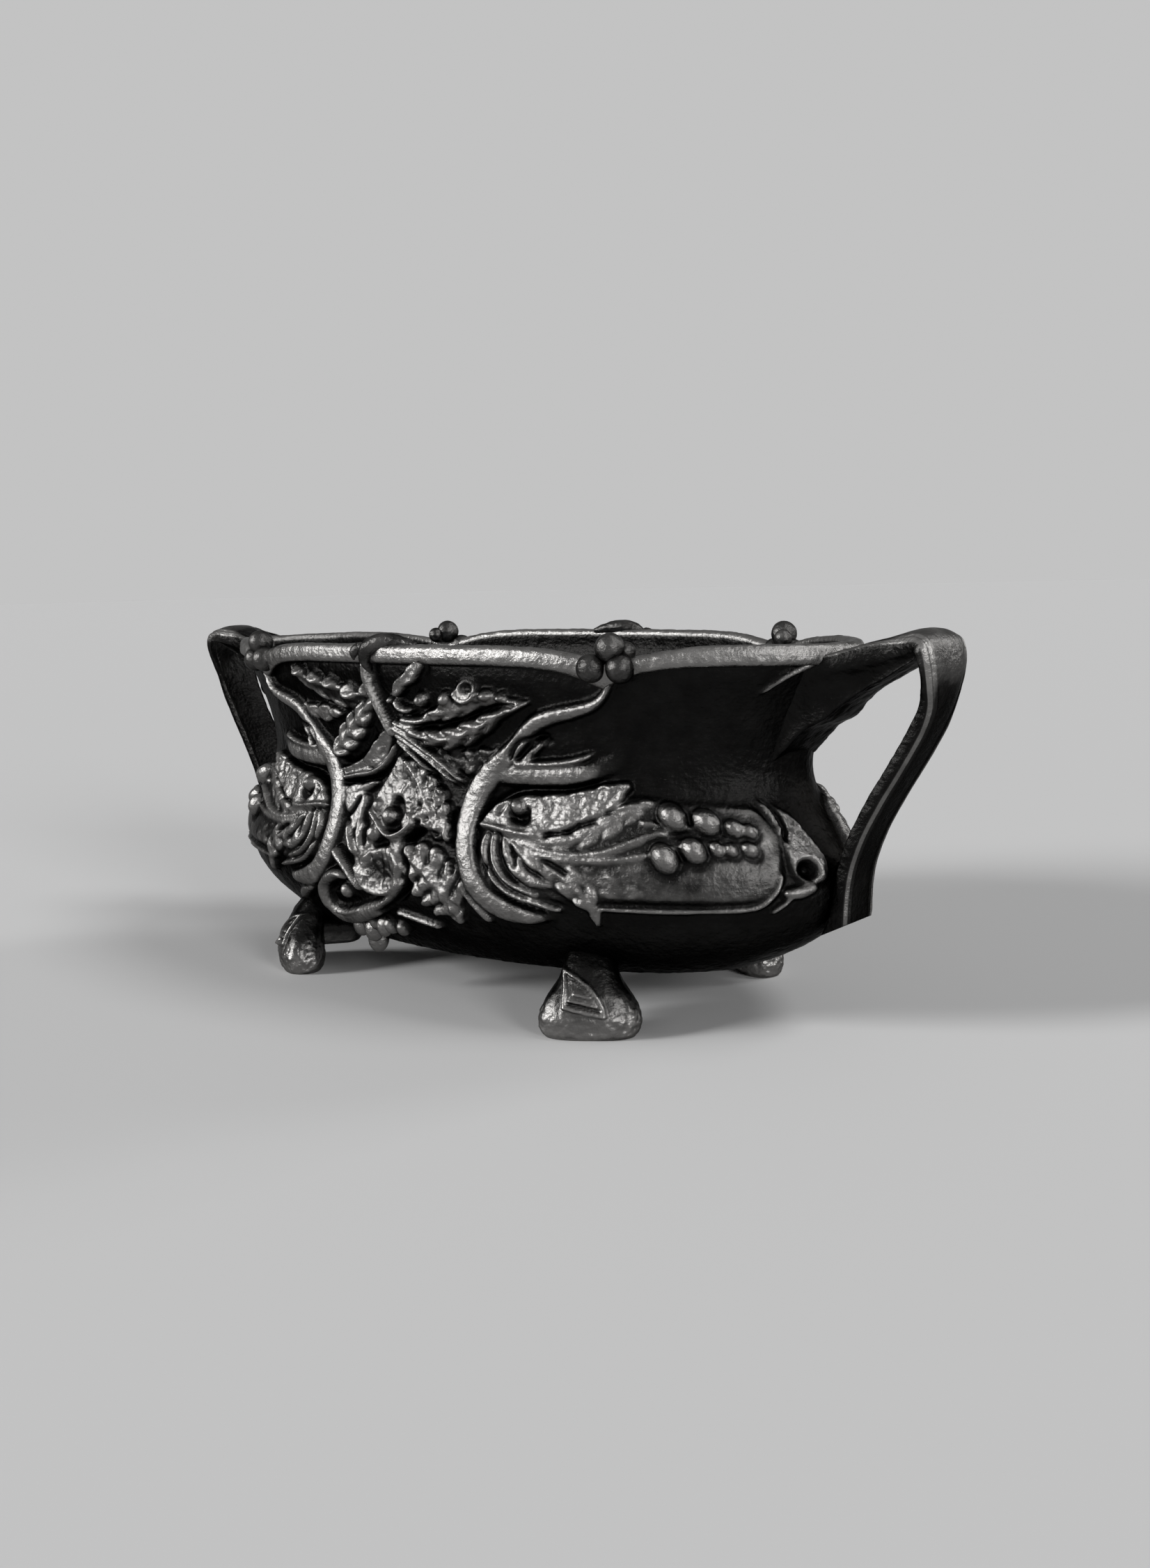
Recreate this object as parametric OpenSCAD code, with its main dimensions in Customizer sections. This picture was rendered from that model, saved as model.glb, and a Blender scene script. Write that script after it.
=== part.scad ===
/* [Body] */
// Length of the oval body across its belly
belly_len = 432; // [410:2:450]
// Width of the oval body across its belly
belly_wid = 206; // [196:2:216]
// Length across the drawn-in neck
neck_len = 380; // [372:2:390]
// Width across the drawn-in neck
neck_wid = 181; // [177:1:186]
// Length across the rim, without its roll
lip_len = 430; // [424:2:440]
// Width across the rim, without its roll
lip_wid = 198; // [194:1:206]
// Length of the flat underside
base_len = 328; // [310:2:340]
// Width of the flat underside
base_wid = 156; // [148:2:164]
// Thickness of the cast wall
wall = 5; // [4:0.5:6]
// Thickness of the floor
floor_t = 5; // [4:0.5:7]

/* [Heights] */
// Height of the underside above the ground
base_z = 28; // [24:1:32]
// Height of the widest line of the belly
belly_z = 74; // [70:1:80]
// Height of the narrowest line of the neck
neck_z = 132; // [126:1:136]
// Height of the lower edge of the rolled rim
lip_z = 185; // [182:1:190]
// Height of the rolled rim itself
lip_h = 11; // [9:0.5:13]
// How far the rolled rim stands out
lip_roll = 3; // [2:0.5:4]
// How far the rim's lower edge dips under each corner
lip_dip = 9; // [4:1:11]

/* [Relief] */
// How far the raised bands stand out from the wall
band_rise = 4.5; // [2:0.5:6]
// How far the raised leaves stand out from the wall
leaf_rise = 3.5; // [2:0.5:5]
// Diameter of the berries on the end panels
berry_d = 14; // [10:1:16]
// Diameter of the berries on the rim's corners
rim_berry_d = 12; // [9:1:13]

/* [Handles] */
// Width of a handle's strap
strap_w = 27; // [22:1:30]
// Thickness of a handle's strap on its long leg
strap_t = 7.5; // [6:0.5:9]
// How far a handle's bend stands out past the belly
handle_reach = 52; // [48:1:58]
// Height of the centre of the strap at its highest, above the rim
handle_rise = 0; // [-4:1:4]
// How far the handle's lower tip lies below the belly's widest line
tip_drop = 17; // [14:1:22]
// How far the flat pad under a handle's lower end stands out from the belly
pad_proud = 1.5; // [1:0.5:3]

/* [Feet] */
// How far each foot stands in from the end of the underside
foot_in_x = 52; // [48:1:58]
// How far each foot stands in from the side of the underside
foot_in_y = 4; // [0:1:8]
// Width of a foot at its toe
toe_w = 53; // [44:1:56]
// Depth of a foot at its toe
toe_d = 28; // [24:1:32]
// Turn of each foot away from the body's long side, in degrees
foot_turn = 35; // [20:1:45]

/* [Fasteners] */
// Thread diameter of the handle screws
screw_d = 6; // [5:0.5:6]
// Thread diameter of the foot bolts
bolt_d = 8; // [6:1:8]
// Side clearance of each thread in its hole
hole_gap = 0.25; // [0.2:0.05:0.4]
// Depth of thread in the handle's upper flare
flare_grip = 8; // [6:0.5:10]
// Depth of thread in a foot
foot_grip = 12; // [8:0.5:14]
// Spread of the two upper screws of each handle
screw_spread = 24; // [22:1:28]
// Height of the two upper screws of each handle above the neck
upper_screw_rise = 25.5; // [24:0.5:26]
// Height of the lower screw of each handle above the belly's widest line
lower_screw_rise = 6; // [2:1:10]

/* [Liner] */
// Gap between the liner and the inside of the neck
liner_gap = 8; // [7:0.5:12]
// Gap between the liner's ends and the heads of the handle screws
liner_head_gap = 1.7; // [1.5:0.1:5]
// Thickness of the liner's sheet
liner_t = 1.2; // [0.8:0.1:1.6]
// How far the liner's rim lies below the bowl's rim
liner_sink = 30; // [28:0.5:31]
// Gap between the liner's floor and the bolt heads under it
liner_floor_gap = 6; // [4:1:12]
// How far the liner's rim stands out
liner_flange = 7; // [5:0.5:8]
// Gap between the liner's rim and the lugs that carry it
seat_gap = 0.3; // [0.2:0.05:0.5]

/* [Lifting rings] */
// Thickness of a lifting ring's wire
ring_wire = 3; // [2.5:0.1:3.5]
// Width of a lifting ring over its wires
ring_w = 36; // [32:1:44]
// Drop of a lifting ring below its hinge
ring_drop = 22; // [16:1:28]
// Radius of the ring's corners, at the middle of the wire
ring_corner = 6; // [4:0.5:7]
// Length of the hinge barrel
barrel_w = 14; // [10:1:16]
// Thickness of the metal round the hinge
barrel_t = 1.5; // [1.2:0.1:2]
// Radial clearance of the ring in its hinge
hinge_gap = 0.3; // [0.2:0.05:0.4]
// How far the ring's hinge lies below the liner's rim
hinge_drop = 16; // [14:1:22]
// Distance of the ring's hinge from the liner's end wall
hinge_stand = 6.8; // [6.4:0.2:9]
// Diameter of the rivets that hold the hinges
rivet_d = 3; // [2:0.5:3.5]

/* [Hidden] */

iron = "#262524";
steel = "#6f7072";
zinc = "#9a9d9e";

// Points round each level of the body, facets of berries and of holes in castings
around = 40;
ball_facets = 8;
hole_facets = 16;
// Overlap of shapes that are joined or cut
lap = 1;

// Turns are measured round the body from the middle of the front long side
corner_turn = 37;
corner_spread = 9;
// Heights in the drawn paths, at the ground, base, belly, neck, lip and rim
rim_z = lip_z + lip_h;
drawn = [[0, 0], [28, base_z], [74, belly_z], [132, neck_z], [185, lip_z], [196, rim_z]];
// Standard proportions of hexagon heads and plain washers
head_share = 0.66;
across_corners = 1.9;
washer_share = 2;
washer_t = 1.6;
seat_proud = 1.2;

function mix(a, b, t) = a + (b - a) * t;
function unit(v) = v / norm(v);

// A size that runs from the base through the belly and the neck to the rim
function level(z, base, belly, neck, lip) =
    z < belly_z ? mix(belly, base, pow(min(1, (belly_z - z) / (belly_z - base_z)), 2.2))
    : z < neck_z ? mix(belly, neck, (1 - cos(180 * (z - belly_z) / (neck_z - belly_z))) / 2)
    : mix(neck, lip, pow(min(1, (z - neck_z) / (lip_z - neck_z)), 1.7));
function half_len(z) = level(z, base_len, belly_len, neck_len, lip_len) / 2;
function half_wid(z) = level(z, base_wid, belly_wid, neck_wid, lip_wid) / 2;

// A point of the oval at height z, grown outward by g
function oval(turn, z, g = 0) =
    [(half_len(z) + g) * sin(turn), -(half_wid(z) + g) * cos(turn), z];
function oval_normal(turn, z) =
    unit(cross(oval(turn + 1, z) - oval(turn - 1, z), oval(turn, z + 1) - oval(turn, z - 1)));
function on_body(turn, z, out) = oval(turn, z) + out * oval_normal(turn, z);
// A point of the body at a height taken from the drawn paths
function on_drawn(turn, h, out) = on_body(turn, lookup(h, drawn), out);
// The body's half length at height z and a distance y from its middle, grown by g
function end_x(y, z, g = 0) =
    (half_len(z) + g) * sqrt(1 - pow(y / (half_wid(z) + g), 2));

// How near a turn is to one of the four corners, from 0 to 1
function corner_near(turn) =
    exp(-pow((90 - abs(abs((turn + 540) % 360 - 180) - 90) - corner_turn) / corner_spread, 2));

// Levels of the casting from the base up the outside, each
// [height, growth, share of the rim's dip]
function outer_levels() = [
    for (rise = [0, 4, 12, 24, 36]) [base_z + rise, 0, 0],
    for (i = [0 : 4]) [mix(belly_z, neck_z, i / 5), 0, 0],
    for (i = [0 : 3]) [mix(neck_z, lip_z, i / 4), 0, i == 3 ? 0.6 : 0],
    [lip_z, 0, 1], [lip_z + lip_h / 4, lip_roll, 0.6],
    [rim_z - lip_h / 4, lip_roll, 0], [rim_z, 0.3 * lip_roll, 0]];
// The same down the inside to the floor
function inner_levels() = [
    [rim_z, -wall, 0], [lip_z, -wall, 0],
    for (i = [2, 1, 0]) [mix(neck_z, lip_z, i / 3), -wall, 0],
    for (i = [2, 1, 0]) [mix(belly_z, neck_z, i / 3), -wall, 0],
    [base_z + 18, -wall, 0],
    [base_z + floor_t, -wall, 0]];
function level_ring(l) = [for (i = [0 : around - 1]) let (turn = 360 * i / around)
    oval(turn, l[0], l[1]) - [0, 0, l[2] * lip_dip * corner_near(turn)]];

// A closed solid through a stack of rings, capped at both ends
module ring_stack(rings) {
    n = len(rings[0]);
    last = (len(rings) - 1) * n;
    sides = [for (j = [0 : len(rings) - 2]) for (i = [0 : n - 1])
        let (a = j * n + i, b = j * n + (i + 1) % n)
        each [[a, a + n, b + n], [a, b + n, b]]];
    polyhedron([for (r = rings) each r],
        concat([[for (i = [0 : n - 1]) i]], sides, [[for (i = [n - 1 : -1 : 0]) last + i]]),
        convexity = 8);
}

// The oval body as a full block, which the handles and feet are fitted to
module body_block() ring_stack([for (l = outer_levels()) level_ring(l)]);
module body_shell() ring_stack([for (l = concat(outer_levels(), inner_levels())) level_ring(l)]);

module on_corners() for (sx = [-1, 1]) for (sy = [-1, 1]) scale([sx, sy, 1]) children();
module front_and_back() for (a = [0, 180]) rotate([0, 0, a]) children();
module both_ends() for (a = [0, 180]) rotate([0, 0, a]) children();

// A raised band along a path of [turn, height, width], standing out from the body
root_depth = 2;
module relief(path, rise) {
    n = len(path);
    at = [for (p = path) on_drawn(p[0], p[1], 0)];
    ring_stack([for (i = [0 : n - 1])
        let (along = unit(at[min(i + 1, n - 1)] - at[max(i - 1, 0)]),
             out = oval_normal(path[i][0], lookup(path[i][1], drawn)),
             side = unit(cross(out, along)) * path[i][2] / 2)
        [at[i] + side - out * root_depth, at[i] + side * 0.7 + out * rise,
         at[i] - side * 0.7 + out * rise, at[i] - side - out * root_depth]]);
}
module berry(turn, h, d, out = 1.5) translate(on_drawn(turn, h, out))
    sphere(d = d, $fn = ball_facets);

// The ridge from under a corner's berries, which widens into the big C-shaped band
band_path = [[38.6, 178, 7], [36.5, 170, 7], [32, 164.5, 8], [27, 160, 9], [24, 152, 11],
             [20.5, 137, 16], [16, 119, 15], [13.8, 104, 14], [13.8, 92, 14],
             [15.5, 79, 14], [19.5, 68, 13], [25, 62, 11], [33, 60, 3]];
tongue_path = [[21, 133, 14], [27, 131, 14], [33, 131.5, 13], [38, 135, 10], [42.5, 145, 4]];
// The long leaves of the end panels, and the ridge beside each handle
eye_leaf_path = [[17.5, 105, 4], [21, 109.5, 15], [27, 112, 21], [34, 114, 18],
                 [40, 120.5, 14], [45, 133, 9], [47, 149, 2]];
lower_leaf_path = [[18.5, 98, 3], [22, 89, 13], [29, 81, 16], [36, 74, 9], [38.5, 66, 2]];
flange_path = [[73, 124, 8], [78, 92, 8], [71, 74, 7]];
end_berries = [[51.5, 113], [52, 97], [58.5, 108], [59.5, 97]];
// The leaves, scroll and pendant of the long sides
holly_right_path = [[-1, 152, 5], [8, 155, 18], [16, 161, 14], [24, 168, 2]];
holly_left_path = [[-4, 160, 6], [-12, 164, 14], [-24, 158, 2]];
fall_left_path = [[-3, 146, 5], [-8, 136, 13], [-17.5, 119, 2]];
pod_path = [[-1, 138, 6], [0.5, 118, 24], [-0.5, 94, 26], [-2.5, 72, 24], [-3, 62, 10]];
scroll_path = [[-9, 104, 4], [-11.5, 86, 8], [-10, 70, 9], [-2, 61, 5]];
side_berries = [[-5, 106, 12], [-2.5, 96, 12], [12, 171, 10]];

module corner_ornament() {
    relief(band_path, band_rise);
    relief(tongue_path, band_rise);
    relief(eye_leaf_path, leaf_rise);
    relief(lower_leaf_path, leaf_rise);
    relief(flange_path, leaf_rise);
    berry(24, 115, berry_d * 0.8, leaf_rise);
    for (b = end_berries) berry(b[0], b[1], berry_d * (b[0] < 56 ? 1 : 0.85));
    for (s = [-1, 1]) {
        berry(corner_turn + 2 * s, 184, rim_berry_d, lip_roll);
        berry(corner_turn + 1.7 * s, 196, rim_berry_d, -1);
    }
}

// A tab that hooks over the middle of the long rim and runs down as a stem
module side_curl() {
    tab = [[lip_z - 14, 1.5, 8], [lip_z - 6, 4, 9], [lip_z + 1, 7, 11], [rim_z - 2, 5, 13],
           [rim_z + 2, -3, 12]];
    for (i = [0 : len(tab) - 2]) hull() for (t = [tab[i], tab[i + 1]])
        translate([0, -half_wid(t[0]) - t[1] + 3, t[0]]) sphere(d = t[2], $fn = ball_facets);
}

module side_ornament() {
    side_curl();
    relief(holly_right_path, leaf_rise);
    relief(holly_left_path, leaf_rise);
    relief(fall_left_path, leaf_rise);
    relief(pod_path, leaf_rise);
    relief(scroll_path, leaf_rise + 1);
    for (b = side_berries) berry(b[0], b[1], b[2]);
}

// Places that pieces share: the handle screws, the foot bolts and the lower pad
pad_x = belly_len / 2 + pad_proud;
pad_h = 24;
upper_screw_z = neck_z + upper_screw_rise;
lower_screw_z = belly_z + lower_screw_rise;
// A washer's seat clears the wall all round the washer
seat_r = screw_d * washer_share / 2;
function seat_x(y, z) = min([for (s = [-1, 1]) end_x(y + seat_r, z + s * seat_r, -wall)])
    - seat_proud;
// Each place is [head face x, y, z, depth of thread past the outside of the wall]
screw_places = [
    for (s = [-1, 1]) [seat_x(screw_spread / 2, upper_screw_z), s * screw_spread / 2,
        upper_screw_z, end_x(screw_spread / 2, upper_screw_z) + flare_grip],
    [seat_x(0, lower_screw_z), 0, lower_screw_z, pad_x + strap_t - 1.5]];
bolt_in = 26;
foot_x = base_len / 2 - foot_in_x;
foot_y = base_wid / 2 - foot_in_y;
bolt_x = foot_x - bolt_in * sin(foot_turn);
bolt_y = foot_y - bolt_in * cos(foot_turn);
bolt_seat_z = base_z + floor_t + 6;
hole_d = screw_d + 2 * hole_gap;
bolt_hole_d = bolt_d + 2 * hole_gap;

module screw_holes() for (s = screw_places)
    translate([s[0] - lap, s[1], s[2]]) rotate([0, 90, 0])
        cylinder(d = hole_d, h = s[3] + hole_gap - s[0] + lap, $fn = hole_facets);

// Room for each screw's washer and head, milled square to its seat
module seat_room() for (s = screw_places) translate([s[0] - 2 * seat_r, s[1], s[2]])
    rotate([0, 90, 0]) cylinder(r = seat_r + hole_gap, h = 2 * seat_r, $fn = hole_facets);

// Flat bosses inside the wall, where the screw heads bear
module screw_bosses() intersection() {
    body_block();
    for (s = screw_places) hull() {
        translate([s[0], s[1], s[2]]) rotate([0, 90, 0])
            cylinder(d = 3 * screw_d, h = wall, $fn = hole_facets);
        translate([s[0] + wall, s[1], s[2]]) rotate([0, 90, 0])
            cylinder(d = 3.6 * screw_d, h = 2 * wall, $fn = hole_facets);
    }
}
module bolt_boss() translate([bolt_x, -bolt_y, base_z]) hull() {
    cylinder(d = 2.3 * bolt_d, h = bolt_seat_z - base_z, $fn = hole_facets);
    translate([0, 0, lap]) cylinder(d = 2.6 * bolt_d, h = floor_t, $fn = hole_facets);
}

// The liner inside the neck, its rim below the bowl's and its floor over the bolts
head_x = screw_places[0][0] - washer_t - screw_d * head_share;
liner_len = 2 * min(neck_len / 2 - wall - liner_gap, head_x - liner_head_gap);
liner_wid = neck_wid - 2 * wall - 2 * liner_gap;
liner_rim_z = rim_z - liner_sink;
liner_floor_z = bolt_seat_z + washer_t + bolt_d * head_share + liner_floor_gap;

// The lugs inside the wall that the liner's rim rests on
lug_turn = 28;
lug_w = 16;
lug_h = 9;
lug_top_z = liner_rim_z - seat_gap;
lug_reach = 2;
module lug() intersection() {
    body_block();
    difference() {
        hull() for (drop = [0, lug_h]) {
            grow = drop == 0 ? 0 : -wall;
            place = oval(lug_turn, lug_top_z - drop);
            translate(place) rotate([0, 0, lug_turn])
                translate([-lug_w / 2, 0, drop == 0 ? -2 : 0])
                    cube([lug_w, drop == 0 ? 30 : wall, drop == 0 ? 2 : 1]);
        }
        linear_extrude(rim_z) oval_outline(liner_len + 2 * lug_reach, liner_wid + 2 * lug_reach);
    }
}

module oval_outline(length, width) polygon([for (i = [0 : around - 1]) let (a = 360 * i / around)
    [length / 2 * cos(a), width / 2 * sin(a)]]);

// The flat pad on the belly that a handle's lower end is screwed to
pad_depth = 8;
module end_pad() translate([pad_x - pad_depth - pad_proud, -strap_w / 2, lower_screw_z - pad_h / 2])
    cube([pad_depth + pad_proud, strap_w, pad_h]);

module bowl() color(iron) difference() {
    union() {
        body_shell();
        on_corners() corner_ornament();
        front_and_back() side_ornament();
        both_ends() end_pad();
        both_ends() screw_bosses();
        on_corners() {
            bolt_boss();
            lug();
        }
    }
    both_ends() screw_holes();
    both_ends() seat_room();
    on_corners() translate([bolt_x, -bolt_y, base_z - lap])
        cylinder(d = bolt_hole_d, h = bolt_seat_z - base_z + 2 * lap, $fn = hole_facets);
}

// The handle's strap, as slices along its middle line: [x, z, thickness]
bend_x = belly_len / 2 + handle_reach;
handle_top_z = rim_z + handle_rise;
tip_z = belly_z - tip_drop;
leg_x = pad_x + strap_t / 2;
top_t = 11;
leg_top = [bend_x - 5, handle_top_z - 30];
leg_bottom = [leg_x + 4, lower_screw_z + 24];
strap_path = concat(
    [[bend_x - 38, handle_top_z - 12, 12], [bend_x - 20, handle_top_z - 3, 13],
     [bend_x - 10, handle_top_z - 0.5, top_t], [bend_x - 4, handle_top_z - 2, top_t],
     [bend_x, handle_top_z - 7, 9], [bend_x + 0.5, handle_top_z - 13, 8],
     [bend_x - 1.2, handle_top_z - 21.5, strap_t]],
    [for (i = [0 : 3]) [mix(leg_top[0], leg_bottom[0], i / 3),
                        mix(leg_top[1], leg_bottom[1], i / 3), strap_t]],
    [[leg_x + 0.8, lower_screw_z + 15, strap_t], [leg_x, lower_screw_z + pad_h / 2, strap_t],
     [leg_x, lower_screw_z - pad_h / 2, strap_t], [leg_x - 1, tip_z + 6, strap_t],
     [leg_x - 4, tip_z, 4]]);
function strap_angle(i) = let (a = strap_path[max(i - 1, 0)],
    b = strap_path[min(i + 1, len(strap_path) - 1)]) atan2(b[1] - a[1], b[0] - a[0]);

// One thin slice of the strap, flat inside and crowned outside
slice_t = 0.4;
module strap_slice(i) {
    p = strap_path[i];
    translate([p[0], 0, p[1]]) rotate([0, -strap_angle(i), 0])
        rotate([90, 0, 90]) linear_extrude(slice_t)
        polygon([[-strap_w / 2, -p[2] / 2], [strap_w / 2, -p[2] / 2], [strap_w / 2, p[2] / 2 - 2],
                 [strap_w / 4, p[2] / 2], [-strap_w / 4, p[2] / 2], [-strap_w / 2, p[2] / 2 - 2]]);
}

// The flare between the neck and the strap: [x from the neck, lowest z, highest z, width]
neck_x = neck_len / 2;
flare = [[neck_x - 22, neck_z - 2, lip_z - 14, 84], [neck_x - 12, neck_z - 3, lip_z - 11, 76],
         [neck_x - 4, neck_z - 3, lip_z - 8, 64], [neck_x + 6, neck_z + 1, lip_z - 2, 56],
         [neck_x + 12, neck_z + 15, lip_z, 49],
         [neck_x + 21, neck_z + 27, lip_z + 2, 38],
         [bend_x - 44, neck_z + 35, handle_top_z - 5, strap_w + 3],
         [bend_x - 31, neck_z + 41, handle_top_z - 2, strap_w],
         [bend_x - 20, neck_z + 47.5, handle_top_z, strap_w - 1],
         [bend_x - 12, handle_top_z - 7.5, handle_top_z - 1, strap_w - 2]];
module flare_slice(f) translate([f[0], 0, (f[1] + f[2]) / 2]) rotate([90, 0, 90])
    linear_extrude(slice_t) polygon([for (p = [[-1, 0.1], [-0.8, -0.6], [-0.35, -1], [0.35, -1],
        [0.8, -0.6], [1, 0.1], [0.75, 0.6], [0.3, 1], [-0.3, 1], [-0.75, 0.6]])
        [p[0] * f[3] / 2, p[1] * (f[2] - f[1]) / 2]]);

module handle() color(iron) difference() {
    union() {
        for (i = [0 : len(strap_path) - 2]) hull() {
            strap_slice(i);
            strap_slice(i + 1);
        }
        for (i = [0 : len(flare) - 2]) hull() {
            flare_slice(flare[i]);
            flare_slice(flare[i + 1]);
        }
    }
    body_block();
    corner_clear();
    end_pad();
    screw_holes();
}
// Room round the raised work beside the handle
module corner_clear() for (s = [-1, 1]) scale([1, s, 1]) relief(flange_path, leaf_rise + hole_gap);

module handle_right() handle();
module handle_left() mirror([1, 0, 0]) handle();

// A foot as slices from the ground up: [drawn height, share of the toe's width and
// of its depth, how far it stands outward]
foot_slices = [[0, 0.87, 0.79, 2], [3, 0.96, 0.92, 2], [7, 1, 1, 2], [13, 0.98, 0.98, 2],
               [17, 0.9, 0.93, 1], [21, 0.8, 0.88, 0], [28, 0.58, 0.78, -2], [36, 0.56, 0.85, -3],
               [50, 0.66, 1.05, -4]];
module foot_slice(f) translate([0, -f[3], lookup(f[0], drawn)]) linear_extrude(slice_t)
    polygon([for (p = [[1, 0.4], [0.75, 1], [-0.75, 1], [-1, 0.4], [-1, -0.4], [-0.75, -1],
        [0.75, -1], [1, -0.4]]) [p[0] * f[1] * toe_w / 2, p[1] * f[2] * toe_d / 2]]);
module foot() color(iron) difference() {
    union() {
        translate([foot_x, -foot_y, 0]) rotate([0, 0, foot_turn])
            for (i = [0 : len(foot_slices) - 2]) hull() {
                foot_slice(foot_slices[i]);
                foot_slice(foot_slices[i + 1]);
            }
        // The tapped palm under the floor
        hull() {
            translate([bolt_x, -bolt_y, base_z - foot_grip - 3])
                cylinder(d = 2.2 * bolt_d, h = foot_grip + 3, $fn = hole_facets);
            translate([foot_x, -foot_y, base_z - foot_grip - 3])
                cylinder(d = 1.8 * bolt_d, h = foot_grip + 3, $fn = hole_facets);
        }
    }
    body_block();
    translate([bolt_x, -bolt_y, base_z - foot_grip - hole_gap])
        cylinder(d = bolt_hole_d, h = foot_grip + floor_t, $fn = hole_facets);
}
module foot_front_right() foot();
module foot_front_left() mirror([1, 0, 0]) foot();
module foot_back_right() mirror([0, 1, 0]) foot();
module foot_back_left() rotate([0, 0, 180]) foot();

// A hexagon screw along +X, its washer face at the origin
module screw(d, reach) {
    head = d * head_share;
    rotate([0, 90, 0]) {
        translate([0, 0, -head]) cylinder(d = d * across_corners, h = head, $fn = 6);
        translate([0, 0, -lap / 2]) cylinder(d = d, h = reach + lap / 2, $fn = 48);
    }
}
module washer(d) rotate([0, 90, 0]) difference() {
    cylinder(d = d * washer_share, h = washer_t, $fn = 48);
    translate([0, 0, -lap]) cylinder(d = d + 2 * hole_gap, h = washer_t + 2 * lap, $fn = 48);
}
module handle_screws() color(steel) both_ends() for (s = screw_places)
    translate([s[0] - washer_t, s[1], s[2]]) screw(screw_d, s[3] - s[0] + washer_t);
module handle_washers() color(steel) both_ends() for (s = screw_places)
    translate([s[0] - washer_t, s[1], s[2]]) washer(screw_d);
module foot_places() for (a = [0, 180]) rotate([0, 0, a]) for (s = [-1, 1])
    translate([s * bolt_x, -bolt_y, bolt_seat_z]) rotate([0, 90, 0]) children();
module foot_bolts() color(steel) foot_places()
    translate([-washer_t, 0, 0]) screw(bolt_d, washer_t + bolt_seat_z - base_z + foot_grip);
module foot_washers() color(steel) foot_places() translate([-washer_t, 0, 0]) washer(bolt_d);

// Places of the liner's hinges and rivets
hinge_x = liner_len / 2 - liner_t - hinge_stand;
hinge_z = liner_rim_z - hinge_drop;
barrel_r = ring_wire / 2 + hinge_gap + barrel_t;
rivet_rise = barrel_r + 5.5;
clip_h = 2 * rivet_rise + 2.6 * rivet_d;
plate_t = 1.5;
plate_face_x = (liner_len / 2 - liner_t) * sqrt(1 - pow(barrel_w / (liner_wid - 2 * liner_t), 2)) - plate_t;
rivet_gap = 0.1;
rivet_head_t = 1.2;
module rivet_holes(d) for (s = [-1, 1]) translate([hinge_x, 0, hinge_z + s * rivet_rise])
    rotate([0, 90, 0]) cylinder(d = d, h = liner_len / 2 - hinge_x + lap, $fn = 32);

module liner() color(zinc) difference() {
    union() {
        translate([0, 0, liner_floor_z]) linear_extrude(liner_rim_z - liner_floor_z + liner_t)
            oval_outline(liner_len, liner_wid);
        translate([0, 0, liner_rim_z]) linear_extrude(liner_t)
            oval_outline(liner_len + 2 * liner_flange, liner_wid + 2 * liner_flange);
    }
    translate([0, 0, liner_floor_z + liner_t]) linear_extrude(liner_rim_z - liner_floor_z + lap)
        oval_outline(liner_len - 2 * liner_t, liner_wid - 2 * liner_t);
    both_ends() rivet_holes(rivet_d + 2 * rivet_gap);
}

module ring_clip() color(zinc) difference() {
    union() {
        intersection() {
            translate([plate_face_x, -barrel_w / 2, hinge_z - clip_h / 2])
                cube([2 * hinge_stand, barrel_w, clip_h]);
            linear_extrude(rim_z) oval_outline(liner_len - 2 * liner_t, liner_wid - 2 * liner_t);
        }
        translate([hinge_x, -barrel_w / 2, hinge_z - barrel_r])
            cube([plate_face_x - hinge_x + plate_t / 2, barrel_w, 2 * barrel_r]);
        translate([hinge_x, barrel_w / 2, hinge_z]) rotate([90, 0, 0])
            cylinder(r = barrel_r, h = barrel_w, $fn = 48);
    }
    translate([hinge_x, barrel_w, hinge_z]) rotate([90, 0, 0])
        cylinder(d = ring_wire + 2 * hinge_gap, h = 2 * barrel_w, $fn = 48);
    rivet_holes(rivet_d + 2 * rivet_gap);
}
module ring_clip_right() ring_clip();
module ring_clip_left() rotate([0, 0, 180]) ring_clip();
module clip_rivets() color(zinc) both_ends() for (s = [-1, 1])
    translate([plate_face_x, 0, hinge_z + s * rivet_rise]) rotate([0, 90, 0]) {
        translate([0, 0, -rivet_head_t]) cylinder(d = 1.8 * rivet_d, h = rivet_head_t, $fn = 32);
        translate([0, 0, -lap / 2])
            cylinder(d = rivet_d, h = liner_len / 2 - plate_face_x + lap, $fn = 32);
        translate([0, 0, liner_len / 2 - plate_face_x])
            cylinder(d = 1.8 * rivet_d, h = rivet_head_t, $fn = 32);
    }

// A lifting ring hanging from its hinge: a straight bar, two sides and a lower bar
module liner_ring() color(zinc) translate([hinge_x, 0, hinge_z]) {
    half_w = (ring_w - ring_wire) / 2;
    straight = half_w - ring_corner;
    for (z = [0, -ring_drop]) translate([0, straight, z]) rotate([90, 0, 0])
        cylinder(d = ring_wire, h = 2 * straight, $fn = 32);
    for (s = [-1, 1]) translate([0, s * half_w, -ring_drop + ring_corner])
        cylinder(d = ring_wire, h = ring_drop - 2 * ring_corner, $fn = 32);
    // The four corners, each turned from the upper one on +Y
    for (quarter = [0 : 3])
        translate([0, (quarter == 0 || quarter == 3 ? 1 : -1) * straight,
                   quarter < 2 ? -ring_corner : ring_corner - ring_drop])
            rotate([90 * quarter, 0, 0]) rotate([90, 0, 90])
                rotate_extrude(angle = 90, $fn = 48)
                    translate([ring_corner, 0]) circle(d = ring_wire, $fn = 32);
}

module liner_ring_right() liner_ring();
module liner_ring_left() rotate([0, 0, 180]) liner_ring();

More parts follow.
